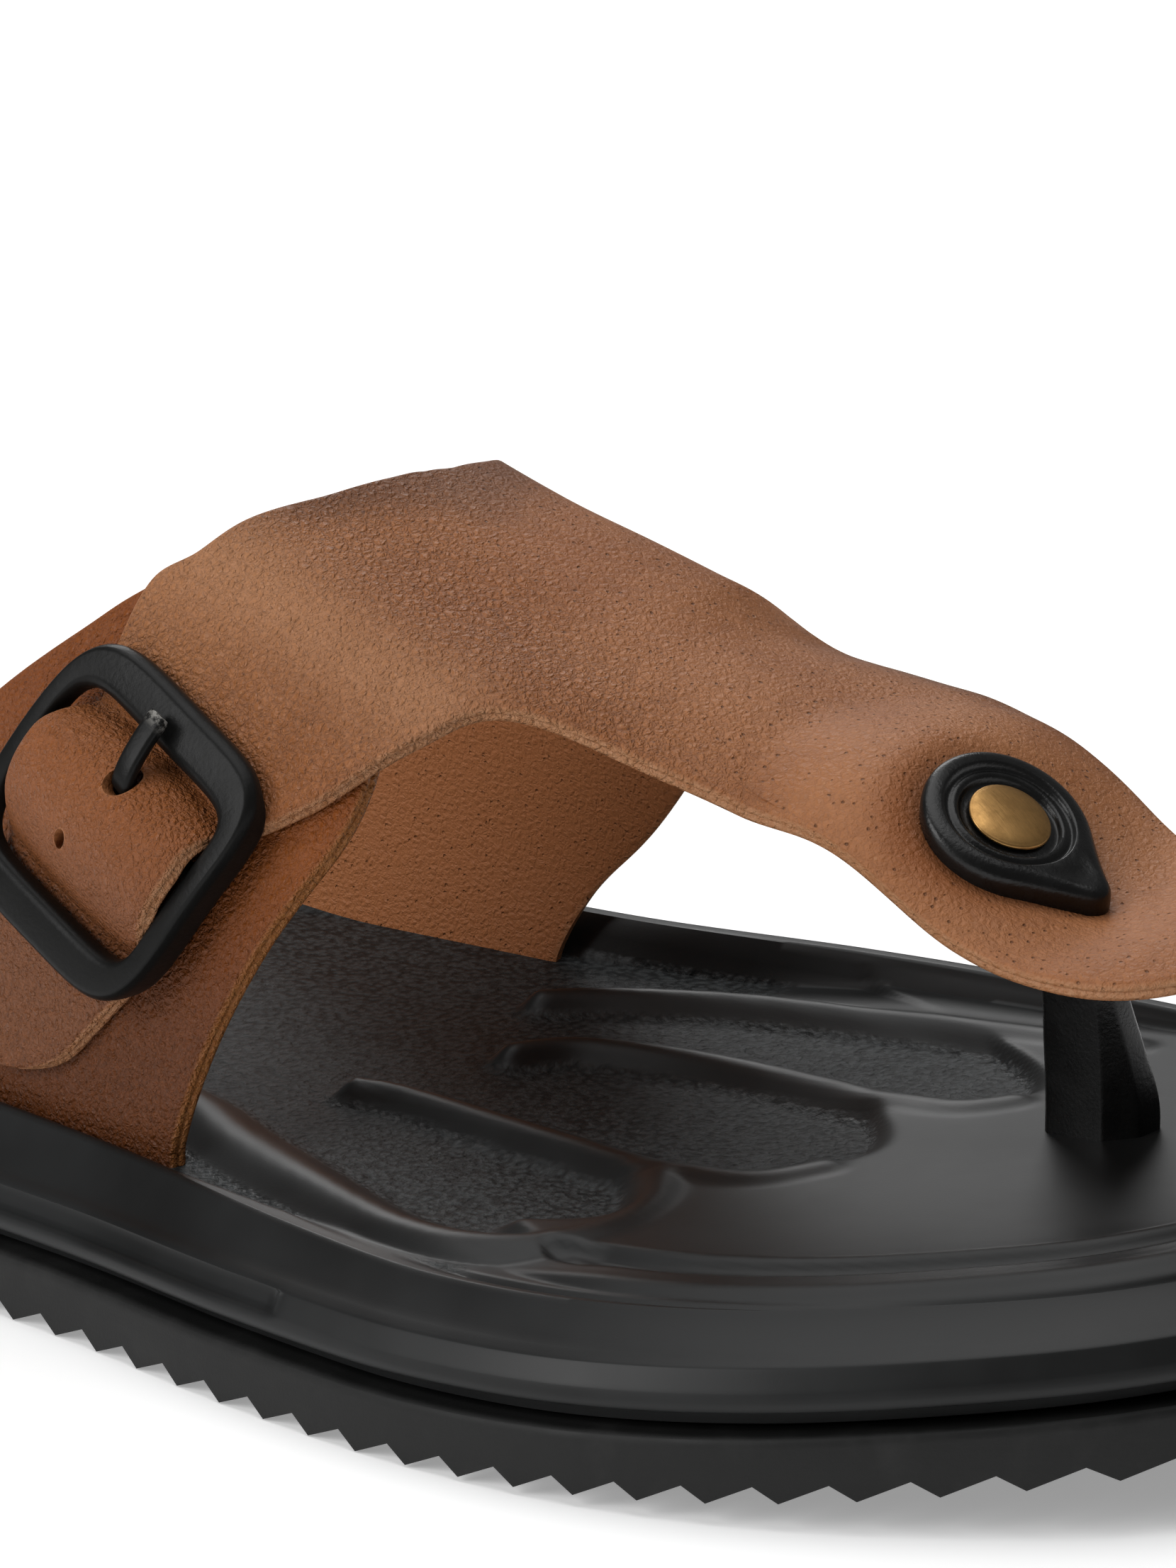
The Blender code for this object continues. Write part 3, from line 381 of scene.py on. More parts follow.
def makeLeather(name, gloss, shade=None):
    finish, tree, shader, place = newFinish(name)
    waves = noise(tree, place, leatherLook["wavesPerMetre"], output="Color")
    wavy = {0: waves, 1: (leatherLook["waveReach"],) * 3, 2: place}
    grainPlace = addNode(tree, "ShaderNodeVectorMath", wavy, operation="MULTIPLY_ADD").outputs["Vector"]
    pebbleMask, edgeMask, insideMask = (maskOf(tree, mask) for mask in ("pebble", "edge", "inside"))
    paintedShadeMask, orangeMask, paintedSheenMask = (maskOf(tree, mask) for mask in ("burnish", "orange", "pale"))
    creases = cells(tree, grainPlace, leatherLook["cellsPerMetre"], "DISTANCE_TO_EDGE")["Distance"]
    fineCreases = cells(tree, grainPlace, leatherLook["fineCellsPerMetre"], "DISTANCE_TO_EDGE")["Distance"]
    domes = spread(tree, creases, 0.0, 0.45)
    smallDomes = spread(tree, fineCreases, 0.0, 0.34)
    poreCells = cells(tree, grainPlace, leatherLook["poresPerMetre"])
    pores = spread(tree, poreCells["Distance"], 0.24, 0.08)
    pores = maths(tree, "MULTIPLY", pores, spread(tree, chanceOf(tree, poreCells), 0.35, 0.50))
    fine = noise(tree, place, 2600.0, 3.0, 0.6)
    broad = noise(tree, place, 45.0, 3.0, 0.55)
    patch = noise(tree, place, 16.0, 2.0, 0.5)
    grain = maths(tree, "MULTIPLY_ADD", domes, 0.72, maths(tree, "MULTIPLY", smallDomes, 0.28))
    pebbled = maths(tree, "MULTIPLY", grain, pebbleMask)
    smoothGrain = maths(tree, "MULTIPLY_ADD", pores, -0.6, maths(tree, "MULTIPLY", grain, 0.35))
    plain = maths(tree, "MULTIPLY", smoothGrain, maths(tree, "SUBTRACT", 1.0, pebbleMask))
    height = maths(tree, "ADD", maths(tree, "ADD", pebbled, plain), maths(tree, "MULTIPLY", fine, 0.22))
    fibres = noise(tree, place, 1500.0, 4.0, 0.7)
    height = maths(tree, "MULTIPLY_ADD", maths(tree, "MULTIPLY", fibres, edgeMask), 0.4, height)
    setBump(tree, shader, height, leatherLook["grainDepth"])
    colour = mixColours(tree, spread(tree, broad, 0.35, 0.68), leatherLook["tan"], leatherLook["pale"])
    colour = mixColours(tree, spread(tree, patch, 0.42, 0.7, 0.0, 0.3), colour, leatherLook["orange"])
    uneven = chanceOf(tree, cells(tree, grainPlace, leatherLook["cellsPerMetre"]))
    colour = mixColours(tree, spread(tree, uneven, 0.45, 1.0, 0.0, 0.35), colour, leatherLook["pale"])
    colour = mixColours(tree, spread(tree, uneven, 0.4, 0.0, 0.0, 0.12), colour, leatherLook["deep"])
    # painted shade: darker down in the grain's creases, most where pebbled
    valley = spread(tree, creases, 0.12, 0.0, 0.0, 0.42)
    valley = maths(tree, "MULTIPLY", valley, spread(tree, pebbleMask, 0.0, 1.0, 0.35, 1.0))
    colour = mixColours(tree, valley, colour, leatherLook["deep"])
    colour = mixColours(tree, maths(tree, "MULTIPLY", pores, 0.7), colour, leatherLook["deep"])
    speckCells = cells(tree, grainPlace, leatherLook["specksPerMetre"])
    specks = spread(tree, speckCells["Distance"], 0.26, 0.1, 0.0, 0.5)
    specks = maths(tree, "MULTIPLY", specks, spread(tree, chanceOf(tree, speckCells, 1), 0.78, 0.88))
    colour = mixColours(tree, specks, colour, leatherLook["rawEdge"])
    colour = mixColours(tree, orangeMask, colour, leatherLook["orange"])
    # painted sheen: lighter, in the sheen colour, where the pale mask is set
    colour = mixColours(tree, paintedSheenMask, colour, leatherLook["wearAndSheen"])
    # painted shade: darker where the shade mask is set, mottled by fine noise
    mottledShade = maths(tree, "MULTIPLY", paintedShadeMask, spread(tree, fine, 0.2, 0.75, 1.0, 0.6))
    colour = mixColours(tree, mottledShade, colour, leatherLook["deep"])
    colour = mixColours(tree, insideMask, colour, leatherLook["inside"])
    raw = mixColours(tree, spread(tree, fibres, 0.2, 0.7), leatherLook["pale"], leatherLook["rawEdge"])
    colour = mixColours(tree, edgeMask, colour, raw)
    # the side strap's copy is multiplied darker and more orange: partly painted shade, partly its own deeper
    # tone
    if shade:
        colour = mixColours(tree, 1.0, colour, shade, "MULTIPLY")
    rough = spread(tree, height, 0.0, 0.9, 0.58, 0.36)
    feed(tree, shader, {"Base Color": colour, "Roughness": rough, "Specular IOR Level": gloss})
    return finish


# black moulded foam: fine pebble in the recesses, satin on the ridges
foamLook = {
    "black": rgb(0.0072, 0.0074, 0.0074),
    "grey": rgb(0.052, 0.0565, 0.0580),
    "dust": rgb(0.5, 0.5, 0.5),
    "pitsPerMetre": 1400.0,
    "pitDepth": 0.0003,
    "dustPerMetre": 260.0,
}


def makeFoam(name):
    finish, tree, shader, place = newFinish(name)
    textured = maskOf(tree, "textured")
    pits = cells(tree, place, foamLook["pitsPerMetre"], "SMOOTH_F1")["Distance"]
    lumps = noise(tree, place, 1800.0, 2.0, 0.5)
    relief = maths(tree, "SUBTRACT", maths(tree, "MULTIPLY_ADD", pits, -0.7, lumps), 0.2)
    relief = maths(tree, "MULTIPLY", relief, textured)
    skin = noise(tree, place, 4500.0, 2.0, 0.5)
    height = maths(tree, "MULTIPLY_ADD", skin, 0.02, relief)
    setBump(tree, shader, height, foamLook["pitDepth"])
    broad = noise(tree, place, 60.0, 3.0, 0.55)
    # the recesses' own grey, lighter on the pebble's raised tops: that lift is painted sheen
    tops = maths(tree, "MULTIPLY", textured, spread(tree, pits, 0.65, 0.2, 0.15, 1.0))
    greyness = maths(tree, "MULTIPLY_ADD", tops, 0.88, spread(tree, broad, 0.3, 0.75, 0.0, 0.12))
    colour = mixColours(tree, greyness, foamLook["black"], foamLook["grey"])
    dustCells = cells(tree, place, foamLook["dustPerMetre"])
    dust = spread(tree, dustCells["Distance"], 0.05, 0.03)
    dust = maths(tree, "MULTIPLY", dust, spread(tree, chanceOf(tree, dustCells), 0.97, 0.98))
    colour = mixColours(tree, dust, colour, foamLook["dust"])
    rough = maths(tree, "MULTIPLY_ADD", textured, 0.15, spread(tree, broad, 0.25, 0.75, 0.37, 0.45))
    gloss = spread(tree, textured, 0.0, 1.0, 0.28, 0.16)
    feed(tree, shader, {"Base Color": colour, "Roughness": rough, "Specular IOR Level": gloss})
    return finish


rubberLook = {"black": rgb(0.0095, 0.0097, 0.0095), "scuff": rgb(0.019, 0.019, 0.0186), "gloss": 0.25}


def makeRubber(name):
    finish, tree, shader, place = newFinish(name)
    streaks = noise(tree, stretched(tree, place, (40.0, 40.0, 700.0)), 1.0, 3.0, 0.6)
    skin = noise(tree, place, 3200.0, 3.0, 0.6)
    height = maths(tree, "MULTIPLY_ADD", streaks, 0.5, maths(tree, "MULTIPLY", skin, 0.35))
    setBump(tree, shader, height, 0.00006)
    wearAndSheen = noise(tree, place, 120.0, 4.0, 0.65)
    colour = mixColours(tree, spread(tree, wearAndSheen, 0.45, 0.8), rubberLook["black"], rubberLook["scuff"])
    rough = spread(tree, wearAndSheen, 0.3, 0.75, 0.48, 0.6)
    feed(tree, shader, {"Base Color": colour, "Roughness": rough, "Specular IOR Level": rubberLook["gloss"]})
    return finish


metalLook = {"black": rgb(0.0075, 0.0075, 0.0072), "wearAndSheen": rgb(0.26, 0.25, 0.23), "gloss": 0.14}


def makeBlackMetal(name):
    finish, tree, shader, place = newFinish(name)
    wearAndSheen = maskOf(tree, "wearAndSheen")
    setBump(tree, shader, noise(tree, place, 1800.0, 3.0, 0.6), 0.00003)
    chips = maths(tree, "MULTIPLY", wearAndSheen, spread(tree, noise(tree, place, 1100.0, 3.0, 0.7), 0.42, 0.62))
    colour = mixColours(tree, chips, metalLook["black"], metalLook["wearAndSheen"])
    rough = spread(tree, noise(tree, place, 150.0, 3.0), 0.3, 0.7, 0.30, 0.40)
    feed(tree, shader, {"Base Color": colour, "Roughness": rough, "Specular IOR Level": metalLook["gloss"]})
    return finish


plasticLook = {"black": rgb(0.0045, 0.0045, 0.0044), "grey": rgb(0.0065, 0.0065, 0.0064), "gloss": 0.35}


def makePlastic(name):
    finish, tree, shader, place = newFinish(name)
    setBump(tree, shader, noise(tree, place, 2600.0, 3.0, 0.6), 0.00004)
    broad = noise(tree, place, 220.0, 3.0, 0.6)
    colour = mixColours(tree, spread(tree, broad, 0.35, 0.7), plasticLook["black"], plasticLook["grey"])
    rough = spread(tree, broad, 0.3, 0.7, 0.24, 0.34)
    feed(tree, shader, {"Base Color": colour, "Roughness": rough, "Specular IOR Level": plasticLook["gloss"]})
    return finish


brassLook = {"gold": rgb(0.56, 0.32, 0.115), "brown": rgb(0.34, 0.19, 0.066)}


def makeBrass(name):
    finish, tree, shader, place = newFinish(name)
    strokes = noise(tree, stretched(tree, place, (300.0, 2600.0, 900.0)), 1.0, 3.0, 0.6)
    setBump(tree, shader, strokes, 0.00002)
    patina = noise(tree, place, 420.0, 4.0, 0.65)
    colour = mixColours(tree, spread(tree, patina, 0.35, 0.7), brassLook["gold"], brassLook["brown"])
    rough = spread(tree, patina, 0.3, 0.7, 0.34, 0.46)
    feed(tree, shader, {"Base Color": colour, "Roughness": rough, "Metallic": 1.0})
    return finish


upperLeather = makeLeather("tanLeather", 0.32)
# side strap: a darker, more orange copy of the tan leather, partly painted shade
strapLeather = makeLeather("tanLeatherShaded", 0.28, rgb(0.80, 0.66, 0.41))
blackFoam = makeFoam("blackFoam")
blackRubber = makeRubber("blackRubber")
blackMetal = makeBlackMetal("blackMetal")
blackPlastic = makePlastic("blackPlastic")
oldBrass = makeBrass("oldBrass")
print("finishes mixed")

# outsole: saw-tooth edge, flat pads underneath
outsoleSizes = {
    "pitch": 6.3, "depth": 1.7, "start": 1.4, "riseShare": 0.65, "clearance": 0.1,
    "top": 6.6, "sideTop": 6.0, "edgeRound": 0.5, "grooveDepth": 3.2,
    "pads": [(48.0, 1.0, 26.0, 20.0), (196.0, -1.0, 26.0, 30.0)],  # x, y, half length, half width
    "padSlope": 0.06, "sideFoot": 2.4,
    "bottomColumns": 60, "endSteps": 120, "endReach": 12.0, "cornerStep": 0.12,
}


def toothHeight(x):
    share = ((x - outsoleSizes["start"]) / outsoleSizes["pitch"]) % 1.0
    rise = np.minimum(share / outsoleSizes["riseShare"], (1.0 - share) / (1.0 - outsoleSizes["riseShare"]))
    return outsoleSizes["clearance"] + outsoleSizes["depth"] * rise


def endSpacing(count):
    return 0.5 * shoe["length"] * (1.0 - np.cos(np.linspace(0.0, math.pi, count)))


def makeOutsole():
    pitch, step, reach = (outsoleSizes[name] for name in ("pitch", "cornerStep", "endReach"))
    tips = outsoleSizes["start"] + pitch * np.arange(int(shoe["length"] / pitch) + 1)
    corners = np.concatenate([tips, tips + pitch * outsoleSizes["riseShare"]])
    ends = endSpacing(outsoleSizes["endSteps"])
    ends = ends[(ends < reach) | (ends > shoe["length"] - reach)]
    stations = np.concatenate([corners, corners - step, corners + step, ends])
    stations = np.unique(np.round(np.clip(stations, 0.0, shoe["length"]), 3))
    x = stations[:, None]
    sideProfile = roundedProfile([
        (0.0, outsoleSizes["sideFoot"]), (0.0, outsoleSizes["sideTop"] - 0.1),
        (outsoleSizes["edgeRound"], outsoleSizes["top"]),
        (outsoleSizes["grooveDepth"] + 1.0, outsoleSizes["top"]),
    ], outsoleSizes["edgeRound"])
    share = np.linspace(0.0, 1.0, outsoleSizes["bottomColumns"])
    lateral, medial = (edgePoint(side, stations, np.zeros(len(stations))) for side in (0, 1))
    bottom = lateral[:, None, :] * (1 - share)[:, None] + medial[:, None, :] * share[:, None]
    low = np.broadcast_to(toothHeight(x), bottom.shape[:2]).copy()
    for padX, padY, halfLength, halfWidth in outsoleSizes["pads"]:
        away = np.hypot((bottom[..., 0] - padX) / halfLength, (bottom[..., 1] - padY) / halfWidth)
        low *= ease(1.0, 1.0 + outsoleSizes["padSlope"], away)
    low[0], low[-1] = low[0].mean(), low[-1].mean()
    rings = [np.concatenate([bottom, low[..., None]], axis=-1)[:, ::-1]]
    for side, profile in ((0, sideProfile), (1, sideProfile[::-1])):
        place, inset, high = np.broadcast_arrays(x, profile[None, :, 0], profile[None, :, 1])
        rings.append(np.concatenate([edgePoint(side, place, inset), high[..., None]], axis=-1))
    spots = np.concatenate(rings, axis=1)
    spots[..., 2] += toeSpring(spots[..., 0])
    addPiece("moulded_outsole", closedLoft(spots), blackRubber, "outsole", 30.0)


makeOutsole()

# footbed: stepped side, raised medial wall, finger ridges and a terraced toe
footbedSizes = {
    "side": [  # height, lateral inset, medial inset, share of the side slot
        (6.9, 3.2, 3.2, 0.0), (8.3, 3.2, 3.2, 0.0), (8.7, 0.5, 0.5, 0.0), (9.6, 0.0, 0.0, 0.0),
        (10.6, 0.2, 0.1, 0.0), (10.9, 0.3, 0.2, 1.0), (12.7, 1.2, 0.8, 1.0), (13.0, 1.4, 1.0, 0.0),
        (13.5, 2.4, 1.7, 0.0), (14.1, 3.9, 2.4, 0.0),
    ],
    "shoulder": 0.4, "shoulderInset": (6.5, 3.1), "rimInset": (7.0, 3.6),
    "slotDepth": 1.1, "slot": (100.0, 192.0), "slotRamp": 2.0,
    "rim": np.array([  # x, lateral height, medial height, width of the fall to the floor
        (0.0, 21.0, 21.0, 16.0), (60.0, 20.6, 21.8, 14.0), (110.0, 19.2, 23.0, 6.0),
        (150.0, 18.3, 22.9, 1.6), (175.0, 17.6, 22.8, 1.4), (200.0, 16.8, 22.6, 1.4),
        (230.0, 16.8, 21.5, 1.4), (260.0, 16.4, 19.0, 1.6), (288.0, 15.6, 15.6, 2.0),
    ]),
    "strip": [  # x, width inside the rim
        (150.0, 0.6), (170.0, 0.6), (185.0, 1.9), (198.0, 1.2), (214.0, 0.6),
    ],
    "medialFlat": 1.4, "endBlend": 40.0,
    "floor": 17.2, "tilt": 1.1, "tiltHalf": 45.0,
    "crest": 2.3, "plateau": 1.75,
    "ridges": [  # x, y, half width along each crest
        [(163.2, 19.6, 3.2), (166.0, 22.4, 3.6), (173.0, 27.2, 4.0), (182.0, 31.6, 4.4), (192.0, 34.7, 4.6),
         (202.0, 37.7, 4.8), (212.0, 40.0, 5.0), (222.0, 41.6, 5.0)],
        [(171.8, 5.2, 3.4), (175.0, 9.7, 3.8), (182.0, 12.9, 4.3), (192.7, 15.0, 4.7), (204.0, 15.6, 5.0),
         (213.0, 15.6, 5.2), (220.0, 17.2, 5.0), (223.0, 21.0, 4.6)],
        [(166.6, -12.5, 3.4), (170.0, -11.6, 3.8), (175.0, -11.7, 4.3), (185.0, -12.4, 4.8),
         (194.5, -12.9, 5.2), (207.0, -13.3, 5.4), (216.6, -11.0, 5.0), (220.0, -5.0, 4.6)],
        [(142.0, -20.0, 4.6), (146.0, -22.2, 5.2), (158.5, -26.8, 6.2), (166.6, -30.9, 6.8),
         (175.0, -34.1, 7.0), (182.0, -36.4, 6.6), (190.0, -39.0, 6.2), (197.3, -40.6, 6.2),
         (204.0, -40.2, 6.0), (209.0, -38.0, 5.4), (213.0, -33.6, 5.0), (214.0, -28.6, 4.8),
         (212.5, -22.0, 4.8), (208.0, -15.0, 5.0)],
    ],
    "tips": [(25.5, 219.0, 8.6), (1.5, 217.0, 11.6), (-24.5, 208.0, 9.0)],  # y, x, half width of each recess
    "tipRound": 8.5, "tipSlope": 4.5, "outerTip": -32.5, "outerSlope": 18.0, "outerReach": 7.0,
    "terrace": [  # inset, drop
        (6.0, 1.9), (7.0, 1.9), (8.8, 1.85), (10.2, 1.2), (11.5, 0.35), (13.5, 0.1), (15.0, 0.0), (23.0, 0.0),
    ],
    "terraceBlend": (188.0, 222.0), "ridgeMeetsRim": (185.0, 200.0), "besideRim": (11.0, 15.0),
    "medialFade": 90.0,  # outline samples past the toe
    "farRecess": {"rise": (170.0, 202.0), "across": (33.5, 38.0)},
    "groove": {"inset": 17.2, "half": 2.8, "depth": 1.4, "start": 211.5, "rounding": 6.0, "flat": 0.35},
    "rimLine": {"inset": 8.7, "half": 0.6, "depth": 0.7, "rise": (198.0, 214.0)},
    "smoothFrom": (0.03, 0.30), "smoothRim": 0.10,
    "stations": 480, "topColumns": 150, "rimCrowding": 0.45, "endCrowding": 0.62, "sideRound": 0.3,
}


def rimHeight(side, x):
    return curveThrough(footbedSizes["rim"][:, 0], footbedSizes["rim"][:, 1 + side], x) + toeSpring(x)


def medialShare(x):
    blend, length = footbedSizes["endBlend"], shoe["length"]
    return ease(0.0, blend, x) * (1.0 - ease(length - blend, length, x))


# share of the crest's height: 0 in the recesses, 1 on the finger ridges
def ridgeLevel(x, y):
    level = np.zeros(np.shape(x))
    for crest in footbedSizes["ridges"]:
        crest = np.array(crest)
        along = distanceAlong(crest[:, :2])
        at = np.linspace(0.0, along[-1], 90)
        pathX, pathY, half = (curveThrough(along, crest[:, k], at) for k in range(3))
        near = np.full(np.shape(x), 9.0)
        for px, py, reach in zip(pathX, pathY, half):
            near = np.minimum(near, np.hypot(x - px, y - py) / reach)
        level = np.maximum(level, 0.5 + 0.5 * np.cos(math.pi * np.clip(near, 0.0, 1.0)))
    return level


def plateauLevel(x, y):
    outerTip, far = footbedSizes["outerTip"], footbedSizes["farRecess"]
    between = np.maximum(y, outerTip)
    ends = []
    for tipY, tipX, half in footbedSizes["tips"]:
        ends.append(tipX - footbedSizes["tipRound"] * ((between - tipY) / half) ** 2)
    outside = ease(0.0, footbedSizes["outerReach"], outerTip - y)
    slope = footbedSizes["tipSlope"] + footbedSizes["outerSlope"] * outside
    farShare = ease(*far["rise"], x) * ease(*far["across"], y)
    return np.maximum(ease(0.0, slope, x - np.max(ends, axis=0)), farShare)


def grooveDrop(x, inset):  # the toe groove, with its rounded start
    groove = footbedSizes["groove"]
    opened = np.sqrt(np.clip((x - groove["start"]) / groove["rounding"], 0.0, 1.0))
    near = np.abs(inset - groove["inset"]) / np.maximum(groove["half"] * opened, 0.05)
    return groove["depth"] * opened * (1.0 - ease(groove["flat"], 1.0, near))


def joined(first, second):  # the higher of two forms, with a filleted corner between them
    return (first**4 + second**4) ** 0.25


def footbedTop(x, y):
    inset, nearest = insetOf(x, y)
    medial = nearest > toePlace
    ridges, plateau = ridgeLevel(x, y), plateauLevel(x, y)
    raised = joined(footbedSizes["crest"] * ridges, footbedSizes["plateau"] * plateau)
    tilt = footbedSizes["tilt"] * y / footbedSizes["tiltHalf"]
    level = footbedSizes["floor"] + tilt + toeSpring(x) + raised
    rim = np.where(medial, rimHeight(1, x), rimHeight(0, x))
    table = np.array(footbedSizes["terrace"])
    beforeToe = 1.0 - ease(0.0, footbedSizes["medialFade"], nearest - toePlace)
    drop = curveThrough(table[:, 0], table[:, 1], inset) * ease(*footbedSizes["terraceBlend"], x) * beforeToe
    level = np.maximum(level - drop, np.minimum(level, rim))
    beside = 1.0 - ease(*footbedSizes["besideRim"], inset)
    beside = ease(*footbedSizes["ridgeMeetsRim"], x) * beside * ~medial
    level = level + np.maximum(rim - level, 0.0) * beside - grooveDrop(x, inset) * beforeToe
    line = footbedSizes["rimLine"]
    scored = bell(inset, line["inset"], line["half"]) * ease(*line["rise"], x)
    level = level - line["depth"] * scored * beforeToe
    cup = curveThrough(footbedSizes["rim"][:, 0], footbedSizes["rim"][:, 3], x)
    rimInset = footbedSizes["rimInset"]
    medialFoot = rimInset[0] + (rimInset[1] - rimInset[0]) * medialShare(x) + footbedSizes["medialFlat"]
    strip = np.array(footbedSizes["strip"])
    lateralFoot = rimInset[0] + np.interp(x, strip[:, 0], strip[:, 1])
    foot = np.where(medial, medialFoot, lateralFoot)
    onRim = 1.0 - ease(foot, foot + cup, inset)
    textured = 1.0 - ease(*footbedSizes["smoothFrom"], joined(ridges, plateau))
    textured = textured * (1.0 - ease(0.0, footbedSizes["smoothRim"], onRim))
    return level + (rim - level) * onRim, textured


def makeFootbed():
    count, crowding = footbedSizes["stations"], footbedSizes["endCrowding"]
    stations = crowding * endSpacing(count) + (1.0 - crowding) * np.linspace(0.0, shoe["length"], count)
    profile = roundedProfile(footbedSizes["side"], footbedSizes["sideRound"])
    (start, end), ramp = footbedSizes["slot"], footbedSizes["slotRamp"]
    reach = ease(start, start + ramp, stations) * (1.0 - ease(end - ramp, end, stations))

    def sideRing(side):
        share = medialShare(stations)[:, None] * side
        insets = profile[None, :, 1] * (1 - share) + profile[None, :, 2] * share
        if side == 0:
            insets = insets + footbedSizes["slotDepth"] * profile[None, :, 3] * reach[:, None]
        heights = np.repeat(profile[None, :, 0], len(stations), axis=0) + toeSpring(stations)[:, None]
        rim = rimHeight(side, stations)[:, None]
        brows = ((footbedSizes["shoulderInset"], -footbedSizes["shoulder"]), (footbedSizes["rimInset"], 0.0))
        for (lateral, medial), lift in brows:
            insets = np.concatenate([insets, lateral * (1 - share) + medial * share], axis=1)
            heights = np.concatenate([heights, rim + lift], axis=1)
        flat = edgePoint(side, np.repeat(stations[:, None], insets.shape[1], axis=1), insets)
        return np.concatenate([flat, heights[..., None]], axis=-1)

    lateral, medial = sideRing(0), sideRing(1)
    share = np.linspace(0.0, 1.0, footbedSizes["topColumns"] + 2)[1:-1, None]
    share = share - footbedSizes["rimCrowding"] * np.sin(2.0 * math.pi * share) / (2.0 * math.pi)
    top = lateral[:, -1:, :] * (1 - share) + medial[:, -1:, :] * share
    heights, textured = footbedTop(top[1:-1, :, 0], top[1:-1, :, 1])
    top[1:-1, :, 2] = heights
    spots = np.concatenate([lateral, top, medial[:, ::-1]], axis=1)
    mask = np.zeros(spots.shape[:2])
    mask[1:-1, lateral.shape[1] : lateral.shape[1] + top.shape[1]] = textured
    addPiece("moulded_footbed", closedLoft(spots, {"textured": mask}), blackFoam, "footbed")


makeFootbed()

# leather pieces: a skin with rounded cut edges that show their two plies
leatherCut = {
    "edge": [  # mm outwards from the edge, share of the thickness
        (-0.55, 1.0), (-0.25, 0.97), (-0.06, 0.88), (0.0, 0.74), (-0.02, 0.60), (-0.18, 0.50),
        (-0.02, 0.40), (0.0, 0.22), (-0.10, 0.06), (-0.35, 0.0),
    ],
    "band": [0.9, 1.4, 2.0, 2.8, 3.8],  # mm in from both edges, for closer columns
    "bevel": 0.55,  # mm that the front edge's lower side stands out
}


def edgeStretch(edge, inner):  # how far along a row one mm square to the edge is
    tangent = np.gradient(edge, axis=0)
    tangent /= np.maximum(np.linalg.norm(tangent, axis=1, keepdims=True), 1e-9)
    step = inner - edge
    step /= np.maximum(np.linalg.norm(step, axis=1, keepdims=True), 1e-9)
    return 1.0 / np.maximum(np.linalg.norm(np.cross(tangent, step), axis=1), 0.3)


# rings round a leather strip: outer face from rear to front, front edge, inner face, rear edge
def leatherRings(placeAt, rowAt, outerMiddle, innerCount):
    probe = onArch(*placeAt(rowAt[:, None], np.linspace(0.0, 1.0, 15)[None, :])[:2])
    width = np.linalg.norm(np.diff(probe, axis=1), axis=2).sum(axis=1)
    band, edge = np.array(leatherCut["band"])[None, :], np.array(leatherCut["edge"])
    squeeze = np.minimum(1.0, 0.3 * width / band.max())
    rear = edgeStretch(probe[:, 0], probe[:, 1]) / width
    front = edgeStretch(probe[:, -1], probe[:, -2]) / width
    limit = 0.38 / band.max()
    rear, front = (np.minimum(scale * squeeze, limit)[:, None] for scale in (rear, front))
    left, right = rear * band, 1.0 - front * band
    middle = np.linspace(0.0, 1.0, outerMiddle + 2)[None, 1:-1]
    between = left[:, -1:] * (1 - middle) + right[:, -1:] * middle
    outer = np.concatenate([left, between, right[:, ::-1]], axis=1)
    inner = np.linspace(1.0, 0.0, innerCount)[None, :]
    inner = (1.0 - front) * inner + rear * (1.0 - inner)
    out, deep = edge[None, :, 0], edge[None, :, 1]
    bevelled = out + leatherCut["bevel"] * (1.0 - deep) * ease(0.0, 0.06, deep)
    shares = np.concatenate([outer, 1.0 + front * bevelled, inner, -rear * out[:, ::-1]], axis=1)
    depth = np.concatenate([np.ones(outer.shape[1]), edge[:, 1], np.zeros(innerCount), edge[::-1, 1]])
    return shares, depth


def evenRows(placeAt, last, count):  # row numbers at even steps along the two edges
    fine = np.linspace(0.0, last, 1200)
    travelled = sum(distanceAlong(onArch(*placeAt(fine, share)[:2])) for share in (0.0, 1.0))
    return np.interp(np.linspace(0.0, travelled[-1], count), travelled, fine)


def leatherSkin(placeAt, liftAt, masksAt, lastRow, sizes):
    rowAt = evenRows(placeAt, lastRow, sizes["rowCount"])
    shares, depth = leatherRings(placeAt, rowAt, sizes["outerColumns"], sizes["innerColumns"])
    x, angle, endPlace = placeAt(rowAt[:, None], shares)
    spots = onArch(x, angle, liftAt(x, angle, endPlace) + shoe["leather"] * depth[None, :])
    masks = masksAt(x, angle, shares)
    cut = ease(0.02, 0.12, depth) * (1.0 - ease(0.82, 0.95, depth))
    masks["edge"] = np.repeat(cut[None, :], len(rowAt), axis=0)
    masks["inside"] = np.repeat((1.0 - ease(0.0, 0.04, depth))[None, :], len(rowAt), axis=0)
    tucked = spots[:1] - np.array([0.0, 0.0, sizes["tuck"]])
    spots = np.concatenate([tucked, spots])
    masks = {name: np.concatenate([values[:1], values]) for name, values in masks.items()}
    return closedLoft(spots, masks)


